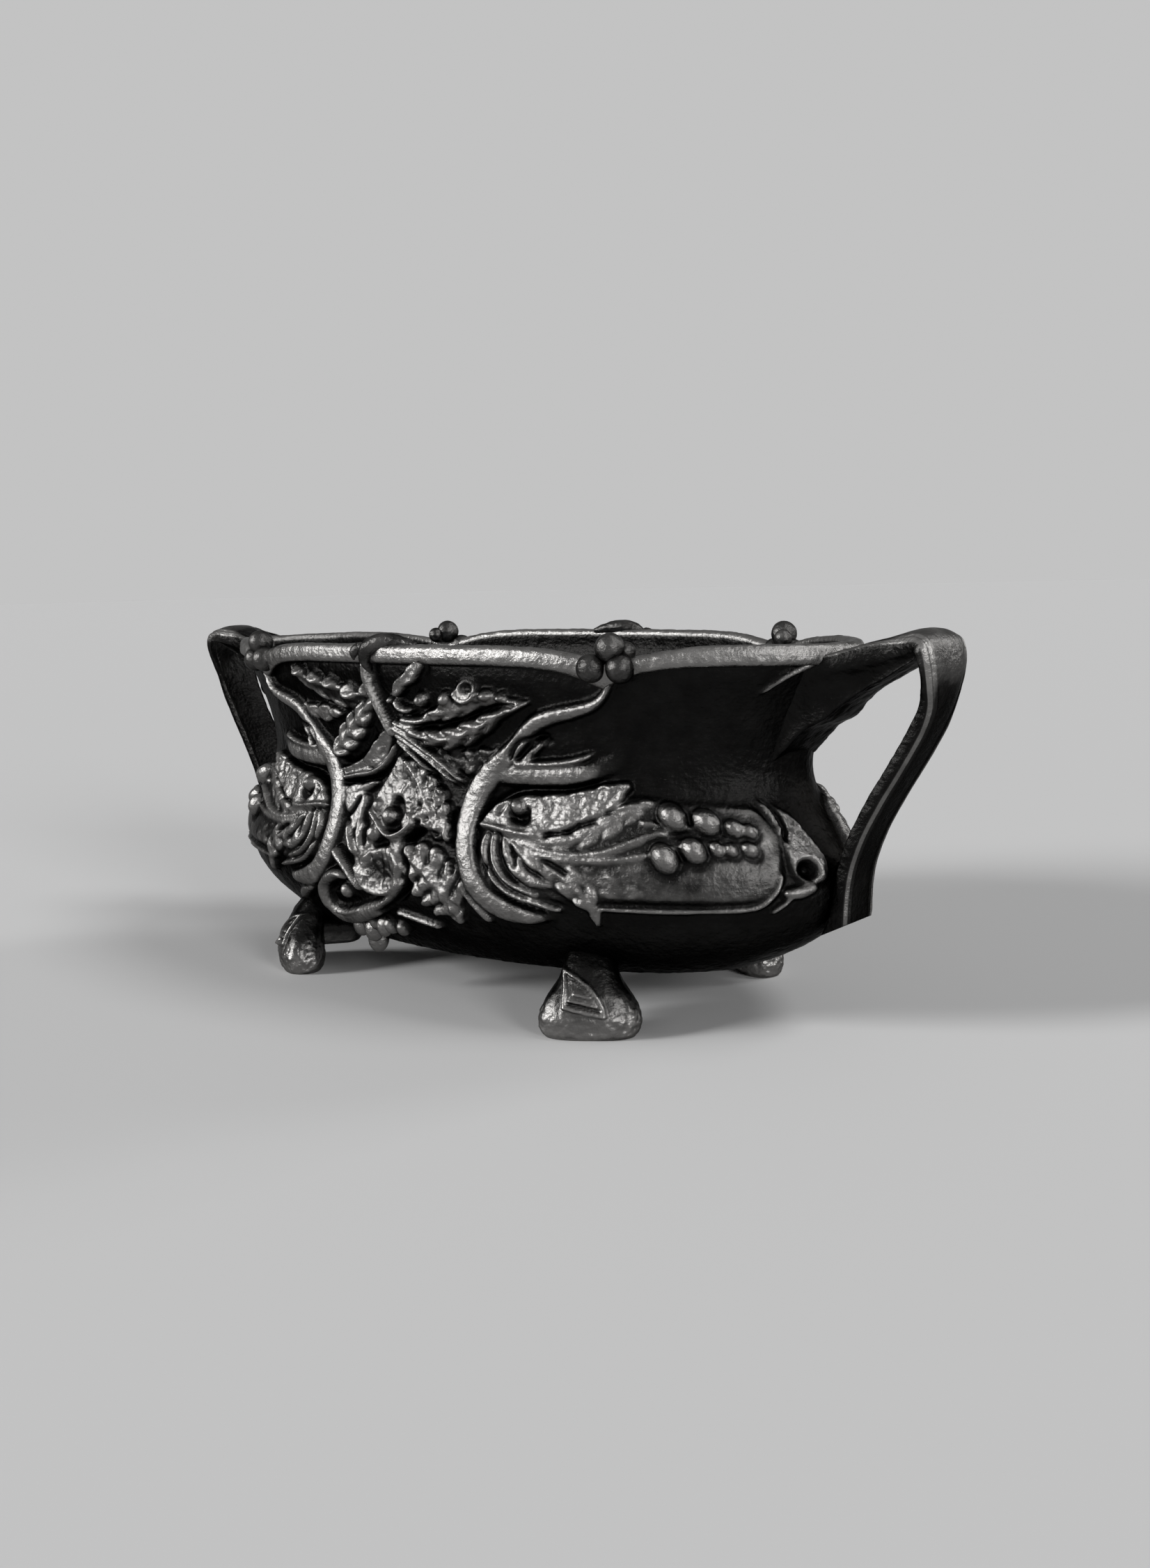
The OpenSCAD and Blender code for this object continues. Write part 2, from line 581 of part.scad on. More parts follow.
bowl();
handle_left();
handle_right();
foot_front_left();
foot_front_right();
foot_back_left();
foot_back_right();
handle_screws();
handle_washers();
foot_bolts();
foot_washers();
liner();
ring_clip_left();
ring_clip_right();
clip_rivets();
liner_ring_left();
liner_ring_right();
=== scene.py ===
import math

import bpy
import numpy as np
from mathutils import Matrix, Vector


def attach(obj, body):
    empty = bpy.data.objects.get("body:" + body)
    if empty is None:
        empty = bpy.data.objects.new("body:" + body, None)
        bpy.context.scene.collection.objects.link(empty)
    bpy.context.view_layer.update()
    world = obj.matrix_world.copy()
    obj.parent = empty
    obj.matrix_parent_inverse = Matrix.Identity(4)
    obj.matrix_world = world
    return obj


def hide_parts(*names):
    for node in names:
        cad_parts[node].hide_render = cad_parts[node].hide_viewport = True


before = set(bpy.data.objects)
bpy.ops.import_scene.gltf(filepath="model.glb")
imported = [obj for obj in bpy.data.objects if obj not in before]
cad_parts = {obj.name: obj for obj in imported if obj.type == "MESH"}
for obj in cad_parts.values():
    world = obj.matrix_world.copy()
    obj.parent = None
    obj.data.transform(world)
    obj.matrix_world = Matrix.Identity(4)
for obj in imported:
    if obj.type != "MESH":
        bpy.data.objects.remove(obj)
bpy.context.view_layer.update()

# Lengths below are in millimetres, and meshes are made in metres
MM = 0.001

# The body's levels: base, belly, neck, lip and rim
BASE_Z, BELLY_Z, NECK_Z, LIP_Z, RIM_Z = 28, 74, 132, 187, 196.5
LENGTHS = (328, 432, 380, 430)
WIDTHS = (156, 203, 181, 198)
WALL = 5

# The height at which the wall has opened out to the lip's size, and how round it is drawn
OPEN_Z = 185
BASE_ROUND, NECK_ROUND = 2.2, 1.7

# The ornament is drawn on an oval of these half axes, unrolled along s from the middle of a long side
DRAWN_X, DRAWN_Y = 210, 100
GRID = 0.9
# How far past its half width a shape is worked out
MARGIN = 3


def smooth(x, low, high):
    """0 below low, 1 above high, and a smooth step between."""
    t = np.clip((x - low) / (high - low), 0, 1)
    return t * t * (3 - 2 * t)


def unit(vectors):
    """The same directions at length one."""
    return vectors / np.linalg.norm(vectors, axis=-1)[..., None]


def level(z, sizes):
    """Half of a size that runs from the base through the belly and the neck to the lip."""
    base, belly, neck, lip = (size / 2 for size in sizes)
    below = belly + (base - belly) * np.clip((BELLY_Z - z) / (BELLY_Z - BASE_Z), 0, 1) ** BASE_ROUND
    middle = belly + (neck - belly) * (1 - np.cos(np.pi * (z - BELLY_Z) / (NECK_Z - BELLY_Z))) / 2
    above = neck + (lip - neck) * np.clip((z - NECK_Z) / (OPEN_Z - NECK_Z), 0, 1) ** NECK_ROUND
    return np.where(z < BELLY_Z, below, np.where(z < NECK_Z, middle, above))


def arc_table():
    """Turns from the middle of a long side to the end, and the distance along the drawn oval."""
    turn = np.linspace(0, math.pi / 2, 2001)
    speed = np.hypot(DRAWN_X * np.cos(turn), DRAWN_Y * np.sin(turn))
    steps = (speed[1:] + speed[:-1]) / 2 * np.diff(turn)
    return turn, np.concatenate([[0], np.cumsum(steps)])


TURNS, ARCS = arc_table()
QUARTER = ARCS[-1]


def turn_of(s):
    """The turn from the middle of the long side, in radians, at a distance s along the drawn oval."""
    return np.sign(s) * np.interp(np.abs(s), ARCS, TURNS)


def on_oval(turn, z, out=0):
    """Points of the bare body at a turn and height, moved outward by out."""
    x = (level(z, LENGTHS) + out) * np.sin(turn)
    y = -(level(z, WIDTHS) + out) * np.cos(turn)
    return np.stack([x, y, z + 0 * x], -1)


# Seeded noise on a lattice, for the roughness of the casting
CELLS = 32
LATTICE = np.random.default_rng(7).random((CELLS, CELLS, CELLS))


def value_noise(points, size):
    """Smooth noise from -1 to 1 at the points, with features of the given size."""
    p = np.asarray(points, float) / size
    cell = np.floor(p).astype(int)
    f = smooth(p - cell, 0, 1)
    total = 0
    for corner in np.ndindex(2, 2, 2):
        share = np.where(corner, f, 1 - f).prod(-1)
        x, y, z = np.moveaxis((cell + corner) % CELLS, -1, 0)
        total = total + share * LATTICE[x, y, z]
    return 2 * total - 1


def rough(points, size, depth):
    """Three octaves of noise."""
    return depth * (value_noise(points, size) + 0.5 * value_noise(points + 37, size / 2)
                    + 0.25 * value_noise(points + 91, size / 4))


# The rim dips at each corner, its lower edge more than its top
CORNER_S = 131
LOW_DIP, TOP_DIP = 11.5, 7.8


def dip(s, left, right):
    """1 at a corner, falling off to its left and right by an extent and a power each."""
    a = np.abs(s) - CORNER_S
    sides = ((np.minimum(a, 0), left), (np.maximum(a, 0), right))
    return np.where(a < 0, *[np.exp(-np.abs(part / extent) ** power) for part, (extent, power) in sides])


def lip_low(s):
    """Height of the rim's lower edge at a distance s along the drawn oval."""
    return LIP_Z - 1.5 * smooth(np.abs(s), 150, 251) - LOW_DIP * dip(s, (21, 1.25), (15, 1.0))


def lip_top(s):
    """Height of the rim's top."""
    return RIM_Z - 1.2 * smooth(np.abs(s), 170, 251) - TOP_DIP * dip(s, (24, 1.4), (28, 1.4))


def wall_rows():
    """Heights evenly spaced along the wall's profile."""
    z = np.linspace(BASE_Z, LIP_Z, 1201)
    r = (level(z, LENGTHS) + level(z, WIDTHS)) / 2
    arc = np.concatenate([[0], np.cumsum(np.hypot(np.diff(z), np.diff(r)))])
    return np.interp(np.linspace(0, arc[-1], int(round(arc[-1] / GRID))), arc, z)


# The drawing grid over half of the wall. Its upper rows are squeezed to follow the rim's dips,
# and end a little behind the rim's lower edge.
SQUEEZE_Z, TUCK = 150, 1.2
ROWS = wall_rows()
COLS = np.linspace(-QUARTER, QUARTER, 2 * int(round(QUARTER / GRID)) + 1)[:-1]
TOPS = lip_low(COLS) + TUCK
SHARE = np.clip((ROWS - SQUEEZE_Z) / (LIP_Z - SQUEEZE_Z), 0, 1)
GZ = np.where(ROWS[:, None] < SQUEEZE_Z, ROWS[:, None], SQUEEZE_Z + SHARE[:, None] * (TOPS - SQUEEZE_Z))
GS = np.repeat(COLS[None, :], len(ROWS), 0)


class Sheet:
    """Heights of the ornament over half of the wall, drawn by shapes along curves."""

    def __init__(self, mirrored):
        self.s = np.abs(GS) if mirrored else GS
        self.h = np.zeros_like(GS)
        self.crumple = np.zeros_like(GS)

    def window(self, low, high):
        return np.nonzero((self.s > low[0]) & (self.s < high[0]) & (GZ > low[1]) & (GZ < high[1]))

    def along(self, path):
        """For grid points near a path of [s, z, half width]: where they are, how far along it
        from 0 to 1, how far across it (left is positive), how far past its ends, the half
        width there, and the path's length."""
        curve = fine_curve(path)
        reach = curve[:, 2].max() + MARGIN
        where = self.window(curve[:, :2].min(0) - reach, curve[:, :2].max(0) + reach)
        p = np.stack([self.s[where], GZ[where]], -1)
        near = nearest(p, curve[:, :2])
        step = np.linalg.norm(np.diff(curve[:, :2], axis=0), axis=1)
        arc = np.concatenate([[0], np.cumsum(step)])
        t = unit(np.gradient(curve[:, :2], axis=0))[near]
        d = p - curve[near, :2]
        forward = (d * t).sum(1)
        across = t[:, 0] * d[:, 1] - t[:, 1] * d[:, 0]
        ahead = np.where(near == len(curve) - 1, np.maximum(forward, 0), 0)
        behind = np.where(near == 0, np.maximum(-forward, 0), 0)
        u = np.clip(arc[near] + forward, 0, arc[-1]) / arc[-1]
        width = np.interp(u, arc / arc[-1], curve[:, 2])
        return where, u, across, ahead + behind, width, arc[-1]

    def raise_to(self, where, height, crumple=0):
        """Raise the sheet to a height. What is raised takes its own share of crumpling."""
        own = crumple * smooth(height, 0.5, 2.5)
        self.crumple[where] = np.where(height > self.h[where], own, self.crumple[where])
        self.h[where] = np.maximum(self.h[where], height)

    def band(self, path, rise, edge=1.6, crown=0.5, start=0, end=0):
        """A raised band with a low crown and steep edges, fading over start and end."""
        where, u, across, past, width, length = self.along(path)
        off = np.hypot(across, past)
        body = smooth(width - off, -edge / 2, edge)
        arch = 1 - crown * (np.minimum(off / np.maximum(width, 0.1), 1)) ** 2
        brushed = np.stack([u * length / 1.5, across / 9, 0 * u], -1)
        self.raise_to(where, rise * body * arch * fades(u, length, start, end)
                      + 0.14 * body * value_noise(brushed, 1))

    def strand(self, path, rise, start=0, end=0):
        """A raised strand with a round back."""
        where, u, across, past, width, length = self.along(path)
        off = np.hypot(across, past) / np.maximum(width, 0.1)
        self.raise_to(where, rise * np.sqrt(np.clip(1 - off ** 2, 0, 1)) * fades(u, length, start, end))

    def groove(self, path, depth, start=2, end=2):
        where, u, across, past, width, length = self.along(path)
        off = np.hypot(across, past) / np.maximum(width, 0.1)
        self.h[where] -= depth * np.clip(1 - off ** 2, 0, 1) ** 0.7 * fades(u, length, start, end)

    def leaf(self, path, rise, lobes, slant=0.35, teeth=0.3, rib=0.8, cup=0.3, vein=0.5, turn=0,
             crumple=0.2):
        """A leaf with a rib, cupped lobes and a toothed edge. turn raises one edge."""
        where, u, across, past, width, _ = self.along(path)
        side = across / np.maximum(width, 0.1)
        lobe = np.abs(np.sin(np.pi * (lobes * u + slant * np.abs(side)))) ** 0.7
        edge = 1 - teeth * (1 - lobe)
        off = np.hypot(across, past) / np.maximum(width * edge, 0.1)
        body = smooth(1 - off, -0.02, 0.16)
        bowl = (1 - cup) + cup * np.clip(off, 0, 1) ** 1.5
        veins = 1 - vein * (1 - lobe) * smooth(off, 0.05, 0.5)
        spine = rib * np.exp(-(across / 1.1) ** 2) * (1 - 0.6 * u)
        lift = 1 + turn * side
        self.raise_to(where, body * (rise * bowl * veins * lift + spine), crumple)

    def berry(self, s, z, r, rise, wide=1.0, dent=False):
        """A round bump. dent gives it a small eye."""
        where = self.window((s - r * wide - 2, z - r - 2), (s + r * wide + 2, z + r + 2))
        d = np.hypot((self.s[where] - s) / wide, GZ[where] - z) / r
        top = rise * np.sqrt(np.clip(1 - d ** 2, 0, 1))
        if dent:
            top = top - 0.9 * np.exp(-(d / 0.22) ** 2)
        self.raise_to(where, top)

    def hollow(self, s, z, rs, rz, depth):
        where = self.window((s - rs - 1, z - rz - 1), (s + rs + 1, z + rz + 1))
        d = np.hypot((self.s[where] - s) / rs, (GZ[where] - z) / rz)
        self.h[where] -= depth * np.clip(1 - d ** 2, 0, 1)

    def pad(self, outline, rise, crown, edge=5, crumple=0.1):
        """A raised area inside a closed outline, sloping down to its edge."""
        curve = fine_curve(outline + outline[:1])
        where = self.window(curve.min(0) - 1, curve.max(0) + 1)
        p = np.stack([self.s[where], GZ[where]], -1)
        distance = np.linalg.norm(p - curve[nearest(p, curve)], axis=1) * inside(p, curve)
        height = rise * smooth(distance, 0, edge) + crown * np.clip(distance / 20, 0, 1) ** 0.5
        self.raise_to(where, np.where(distance > 0, height, 0), crumple)


def fades(u, length, start, end):
    rise = smooth(u * length, -0.01, start) if start else 1
    fall = smooth((1 - u) * length, -0.01, end) if end else 1
    return rise * fall


def spline(rows, step, least):
    """A smooth curve through all rows but the first and last, which only steer it. It has one
    point every step, and between two rows at least the least number."""
    out = []
    for i in range(1, len(rows) - 2):
        a, b, c, d = rows[i - 1:i + 3]
        n = max(least, int(np.linalg.norm((c - b)[:2]) / step))
        t = np.arange(n)[:, None] / n
        out.append(0.5 * (2 * b + (c - a) * t + (2 * a - 5 * b + 4 * c - d) * t ** 2
                          + (3 * b - a - 3 * c + d) * t ** 3))
    return np.concatenate(out + [rows[-2:-1]])


def fine_curve(path, step=0.6):
    """A smooth curve through the points of a path, one point every step."""
    p = np.array(path, float)
    return spline(np.concatenate([[2 * p[0] - p[1]], p, [2 * p[-1] - p[-2]]]), step, 2)


def nearest(points, curve, block=20000):
    """Index of the curve's point nearest to each point, found in blocks."""
    out = np.empty(len(points), int)
    for i in range(0, len(points), block):
        d = points[i:i + block, None, :] - curve[None, :, :]
        out[i:i + block] = (d ** 2).sum(-1).argmin(1)
    return out


def inside(points, outline):
    """1 inside a closed outline and -1 outside it."""
    x, y = points[:, 0], points[:, 1]
    odd = np.zeros(len(points), bool)
    for (x0, y0), (x1, y1) in zip(outline, np.roll(outline, -1, 0)):
        if y0 != y1:
            odd ^= ((y0 > y) != (y1 > y)) & (x < (x1 - x0) * (y - y0) / (y1 - y0) + x0)
    return np.where(odd, 1, -1)


# Corner ornament, drawn once for all four corners
def draw_corner(sheet):
    draw_end_panel(sheet)
    # The ridge from the rim's corner, which turns into the C-shaped band
    sheet.band([(133, 180, 2.2), (131.5, 173, 2.6), (127, 168, 3.4), (117, 164.5, 4.2), (106, 162, 4.6),
        (97, 158.5, 5), (90, 153, 5), (84, 146, 5), (76, 138, 6.5), (66, 129, 7.6), (58, 119, 7.5),
        (53, 107, 7.4), (51.5, 96, 7.2), (53, 86, 7.4), (58, 76, 7.8), (66, 68.5, 7.2), (77, 63.5, 6),
        (90, 61.5, 4), (104, 61.5, 1.5)], 5.2, crown=0.32, end=14)
    # The tongue that runs along the end panel, with its upper ridge
    sheet.band([(76, 131, 6), (88, 131.5, 6.6), (102, 131, 6.6), (117, 131.5, 6.4), (131, 134, 5.8),
        (142, 138, 4.6), (150, 142, 2.5)], 4.6, end=34)
    sheet.strand([(80, 137, 2.4), (92, 137, 2.2), (106, 137.5, 2), (118, 139, 2), (127, 141.5, 1.9),
        (132, 144, 1.6)], 5.4, start=6, end=8)
    sheet.strand([(85, 135, 2.6), (93, 141, 2.4), (98, 146, 1.8), (103, 149, 1)], 4.8, start=8, end=4)
    # Dark cuts between the ridge, the finger and the tongue
    sheet.groove([(81, 138, 1.2), (83, 144, 1.9), (87, 148.5, 1.8), (94, 150.5, 1.3), (104, 151, 1)], 3.4)
    sheet.groove([(93.5, 139.5, 1.1), (95, 143, 1.5), (99, 147, 1.2), (106, 149, 0.8)], 2.6)
    sheet.groove([(138, 130.5, 0.8), (131, 128, 1.8), (117, 125, 1.8), (100, 124.2, 1.5), (84, 122.5, 1.6),
        (72, 117.5, 1.8), (63.5, 110, 2), (59, 101, 2), (58.2, 91, 1.5), (60.5, 82, 1.2), (67, 74.5, 1.1),
        (78, 69.8, 1), (92, 67.2, 1), (105, 64.5, 0.9)], 3.2, start=12, end=8)
    # The wall draws in under the rim beside the corner, as a soft fold
    sheet.strand([(131.5, 178, 4.5), (131, 184, 6), (131, 190, 6)], 3.2, start=5)


def draw_end_panel(sheet):
    # The ridge that runs up the neck to the handle
    sheet.strand([(207, 170.5, 0.6), (214, 178.5, 1.3), (221, 183, 1.9), (231, 187, 2.6)], 3.4, start=6)
    # The swollen panel that the leaves lie on, cut off by a thin ridge along its foot
    sheet.pad([(58, 100), (60, 88), (68, 76), (84, 69), (110, 68), (135, 69.5), (170, 70), (200, 70.5),
        (211, 77), (217, 88), (222, 98), (221, 108), (214, 117), (203, 119), (188, 120), (170, 122),
        (150, 124), (120, 125), (90, 123), (72, 117), (62, 109)], 2.4, crown=1.0)
    sheet.strand([(120, 68.5, 1.3), (135, 68.3, 1.5), (155, 68.5, 1.5), (175, 69, 1.3), (192, 69.5, 1.4),
        (201, 71, 1.5), (208, 76, 1.4), (212, 82, 1.2), (213.5, 88, 0.9)], 4.2, start=6, end=5)
    # A rounded boss where the berries end
    sheet.band([(199, 98, 6), (206, 100, 10), (211, 101, 11)], 3.8, edge=4)
    # The hammered wall that turns the corner, past a curved cut
    sheet.pad([(214, 121), (224, 118), (233, 112), (238, 101), (241, 90), (238, 80), (229, 77), (220, 80),
        (216, 92), (216, 108)], 3.4, crown=0.8, crumple=0.6)
    sheet.groove([(216, 121.5, 0.6), (220, 118, 1.3), (223, 113, 1.9), (224, 107.5, 1.9), (222.5, 102, 1.4),
        (220, 97.5, 0.8)], 4, start=9, end=4)
    draw_lower_leaves(sheet)
    # Strands that carry the berries
    sheet.strand([(76, 98, 1.6), (90, 93, 1.8), (108, 90.2, 1.7), (128, 90.8, 1.9), (146, 93, 2),
        (160, 96, 1.6), (171, 99, 1.2)], 5.2)
    sheet.strand([(84, 97.5, 1.6), (98, 94, 2.2), (114, 92.8, 2.4), (130, 94.5, 2.6), (144, 99, 3),
        (157, 103, 2.6), (170, 105.5, 1.8), (182, 107, 1.2)], 5.6)
    sheet.strand([(150, 108, 2), (158, 108.5, 2.2), (166, 106, 1.5)], 5.2, start=4)
    sheet.leaf([(76, 100.5, 1.2), (90, 98, 2.6), (104, 97.8, 3.8), (118, 100.5, 5.2), (130, 105.5, 6.2),
        (142, 110.5, 5.6), (152, 115, 4), (160, 119, 1.6)], 5.8, 6, slant=0.5, teeth=0.22, cup=0.2,
        vein=0.3, turn=0.25)
    sheet.groove([(94, 101.2, 0.8), (108, 102.8, 1.5), (120, 106.5, 1.9), (130, 111, 1.9),
        (140, 114.5, 1.2)], 3)
    # The long leaf with the eye
    sheet.leaf([(61, 104.5, 0.8), (67, 107, 5.2), (76, 109, 8.6), (88, 110.5, 10.6), (100, 111.5, 11),
        (112, 113.5, 10), (122, 116, 8.6), (132, 119, 8), (141, 122.5, 6.6), (149, 126.5, 3)], 6, 5.5,
        slant=0.6, teeth=0.1, rib=0, cup=0.12, vein=0.2, turn=-0.1, crumple=0.5)
    sheet.strand([(61, 104.5, 1.4), (68, 104, 2), (78, 102.5, 2.2), (90, 101, 2), (102, 102, 1.2)], 7.6,
        end=6)
    sheet.groove([(122, 110.5, 0.7), (122.5, 117, 0.9), (123, 124, 0.7)], 1.2)
    sheet.groove([(70, 115.5, 0.7), (82, 119.5, 0.8), (96, 121, 0.7), (112, 122, 0.6)], 1.2)
    sheet.groove([(73, 109, 0.8), (76, 113.5, 1), (80.5, 117, 0.8)], 1.8)
    sheet.hollow(86.5, 110.5, 8, 6.2, 4.6)
    sheet.berry(86, 114.5, 5.2, rise=9.2)
    sheet.groove([(104, 110, 0.7), (108, 114, 0.9), (107, 119, 0.6)], 0.9)
    sheet.groove([(128, 115, 0.6), (133, 121, 0.9), (134, 126, 0.6)], 1.2)
    # Berries in two rows
    berries = ((170, 111.6, 7.8), (186, 109.2, 7), (198.4, 106, 5.2), (205.4, 104.4, 4.2), (160, 93, 7.6),
        (175, 96.4, 6.6), (186.4, 97, 4.2), (193, 96.6, 3.8), (202, 96.4, 4.2))
    for s, z, r in berries:
        sheet.hollow(s, z - 0.8, 1.35 * r, 1.35 * r, 2.6)
    for s, z, r in berries:
        sheet.berry(s, z, r, rise=r + 1.6, wide=1 + 0.12 * smooth(s, 160, 190))
    # The socket beside the handle, with its bright lips
    sheet.strand([(228, 96, 1), (232, 91, 1.2), (234, 84.5, 1.3), (233, 79, 1)], 4.4, start=5, end=3)
    sheet.band([(214, 76.5, 2.4), (220, 76.5, 3.4), (227, 78, 3)], 5.2, edge=1.2)
    sheet.strand([(208, 68, 1.2), (213, 71.5, 1.4), (218, 76, 1.2)], 3.6)
    sheet.hollow(226.5, 86, 6, 5, 7)


def draw_lower_leaves(sheet):
    """Leaves that hang below the stem, inside the C-shaped band."""
    sheet.leaf([(88, 93, 1.5), (97, 88.5, 5), (107, 83, 7.5), (116, 76, 7.5), (122, 68.5, 4.6),
        (126, 60, 1)], 5.4, 4.5, slant=0.4)
    sheet.leaf([(104, 86, 1.5), (114, 85, 4.2), (126, 81, 5.5), (137, 77.5, 4.5), (146, 77, 1)], 4.6, 3.5,
        cup=0.35)
    sheet.leaf([(76, 97, 1.2), (79, 89.5, 3.6), (86, 82.5, 4.2), (95, 79, 2.4), (101, 78, 0.8)], 5.8, 3,
        rib=0.5, cup=0.15, vein=0.2, teeth=0.16)
    sheet.leaf([(81, 97, 1), (87, 91.5, 2.6), (93.5, 86.5, 2.6), (98, 84, 0.8)], 6.2, 2, rib=0.4, cup=0.1,
        teeth=0.16, vein=0.25)
    sheet.band([(66, 100, 2), (63.5, 93.5, 3), (64.5, 86.5, 1.8)], 5.4, edge=1.2)
    sheet.strand([(70.5, 100, 1.4), (69, 92, 1.7), (71, 84.5, 1.9), (77.5, 78.2, 2), (87, 74.5, 1.9),
        (97, 72, 1.2)], 6, end=5)
    sheet.strand([(64.5, 86, 1.2), (68.5, 79.5, 1.8), (76, 73.8, 2.2), (87, 70, 2.4), (98, 67.8, 2.2),
        (105, 66.5, 1)], 5.6, start=5)
    sheet.groove([(72.5, 97.5, 0.7), (73, 90, 1), (76.5, 83.5, 1.1), (84, 78, 1)], 2.4)
    sheet.groove([(79.5, 96.5, 0.8), (81.5, 90, 1.3), (82, 84.5, 1.1)], 3)
    sheet.groove([(66.5, 96, 0.6), (67, 88, 0.9), (70, 81.5, 0.9), (78, 75.5, 0.8), (90, 71.8, 0.7)], 1.8)
    sheet.groove([(96, 91, 0.9), (104, 87, 1.3), (110, 83.5, 1)], 2.4)
    sheet.groove([(85, 88.5, 0.6), (91, 84, 0.9), (96, 82, 0.6)], 1.8)
    sheet.groove([(98, 77, 0.6), (106, 73, 0.9), (113, 68, 0.6)], 1.6)


# Ornament of the long sides, which isn't mirrored
def draw_side(sheet):
    draw_pod(sheet)
    draw_side_leaves(sheet)
    draw_scroll(sheet)
    draw_left_folds(sheet)
    draw_stems(sheet)
    draw_holly(sheet)
    draw_left_leaves(sheet)
    draw_stalk(sheet)


def draw_pod(sheet):
    """The long swollen pod under the stems, with three berries in its hollows."""
    sheet.pad([(-4, 142), (4, 138), (14, 130), (22, 116), (18, 104), (11, 92), (13, 80), (9, 68), (-4, 60),
        (-20, 62), (-30, 72), (-33, 90), (-27, 104), (-21, 116), (-13, 128)], 3.2, crown=1.2, crumple=0.45)
    sheet.groove([(-0.5, 146, 1.2), (-4, 137, 2.2), (-12, 126.5, 2.4), (-19, 118, 2.2), (-22.5, 111, 2.6),
        (-26, 104.5, 2.4), (-21, 98.5, 2.2), (-21.5, 93, 2), (-20, 87, 1.4)], 5.4)
    sheet.hollow(1.5, 107.5, 6, 8.5, 6)
    sheet.hollow(1, 99, 6, 4, 3.5)
    sheet.hollow(-7, 89.5, 6.5, 4.4, 5.4)
    sheet.strand([(-21, 107, 1), (-16.5, 103, 1.5), (-11.5, 99.5, 1.6), (-6.5, 95.8, 1.6),
        (-1.5, 93.6, 1.9), (5, 94.6, 2), (11, 98, 1.9), (14, 101.8, 1.7), (12, 104.8, 1.4),
        (8.5, 105.8, 0.9)], 7.4, start=3, end=3)
    for s, z, r in ((-14, 108.5, 4.4), (-3.4, 104, 5.2), (-13, 94, 5.2)):
        sheet.berry(s, z, r, rise=r + 3.4, dent=True)
    sheet.leaf([(12, 106, 1), (9, 113, 4), (8, 122, 5), (7, 130, 3), (6, 135, 1)], 5.4, 3, crumple=0.9)


def draw_scroll(sheet):
    """The shell under the berries, and the S-shaped roll that ends in a snail at its left."""
    sheet.pad([(0, 91), (8, 87), (12.5, 81), (11, 74), (6.5, 68), (-3, 64), (-14, 63.5), (-21.5, 67.5),
        (-24, 74), (-23, 82), (-15, 88)], 5.8, edge=4, crown=0.6, crumple=0.9)
    sheet.hollow(-7, 77, 15, 11.5, 3.4)
    sheet.strand([(-26, 79, 1.4), (-24.5, 73, 2), (-21.5, 68, 2.2), (-14, 64.6, 2.3), (-3, 64.8, 2.1),
        (5, 68.8, 1.7), (9.5, 75, 1.3)], 8, start=4, end=6)
    sheet.band([(-34, 67.5, 2), (-42, 69.5, 3.2), (-52, 66.5, 4), (-60, 59.5, 4.6), (-63, 51.5, 4.8),
        (-57, 45.8, 4.8), (-46, 45.5, 4.8), (-33, 48.5, 4.8), (-20, 52.6, 4.8), (-8, 57.2, 4), (1.5, 62, 3),
        (8, 68.5, 2.2), (11, 76, 1.5)], 7, crown=0.45, start=5, end=8)
    sheet.hollow(-51, 57, 9.5, 7, 4.2)
    sheet.hollow(-36, 57, 8, 5, 3)
    sheet.berry(-39, 60.5, 4.6, rise=6)
    sheet.strand([(-58, 49, 0.8), (-47, 48.5, 1.1), (-36, 51, 1.1), (-27, 53.6, 0.8)], 7.6, start=4, end=4)
    sheet.groove([(24, 100, 1.2), (17, 97.4, 1.8), (12, 93.2, 1.9), (9.6, 88, 1.6), (12.6, 81.5, 1.4),
        (13.6, 75, 1.8), (9.6, 66.4, 2), (-1, 58.8, 1.9), (-14, 52, 1.2)], 5.6)
    # Sweeping strands from the left corner, and the low beads under the scroll
    sheet.band([(-108, 45, 2), (-94, 51, 3.4), (-80, 57, 3.6), (-68, 62.5, 2.6)], 4.4, edge=1.4, crown=0.6,
        start=14, end=6)
    sheet.strand([(-3, 53.3, 0.8), (7, 52.1, 1.3), (21, 50, 1.3), (32, 47.8, 0.8)], 4.2, start=3, end=4)
    for s, z, r in ((-37, 40.5, 4.2), (-27, 43, 4.4), (-14, 43, 4.6), (-4, 42.5, 4)):
        sheet.berry(s, z, r, rise=r + 1.4, wide=1.15)


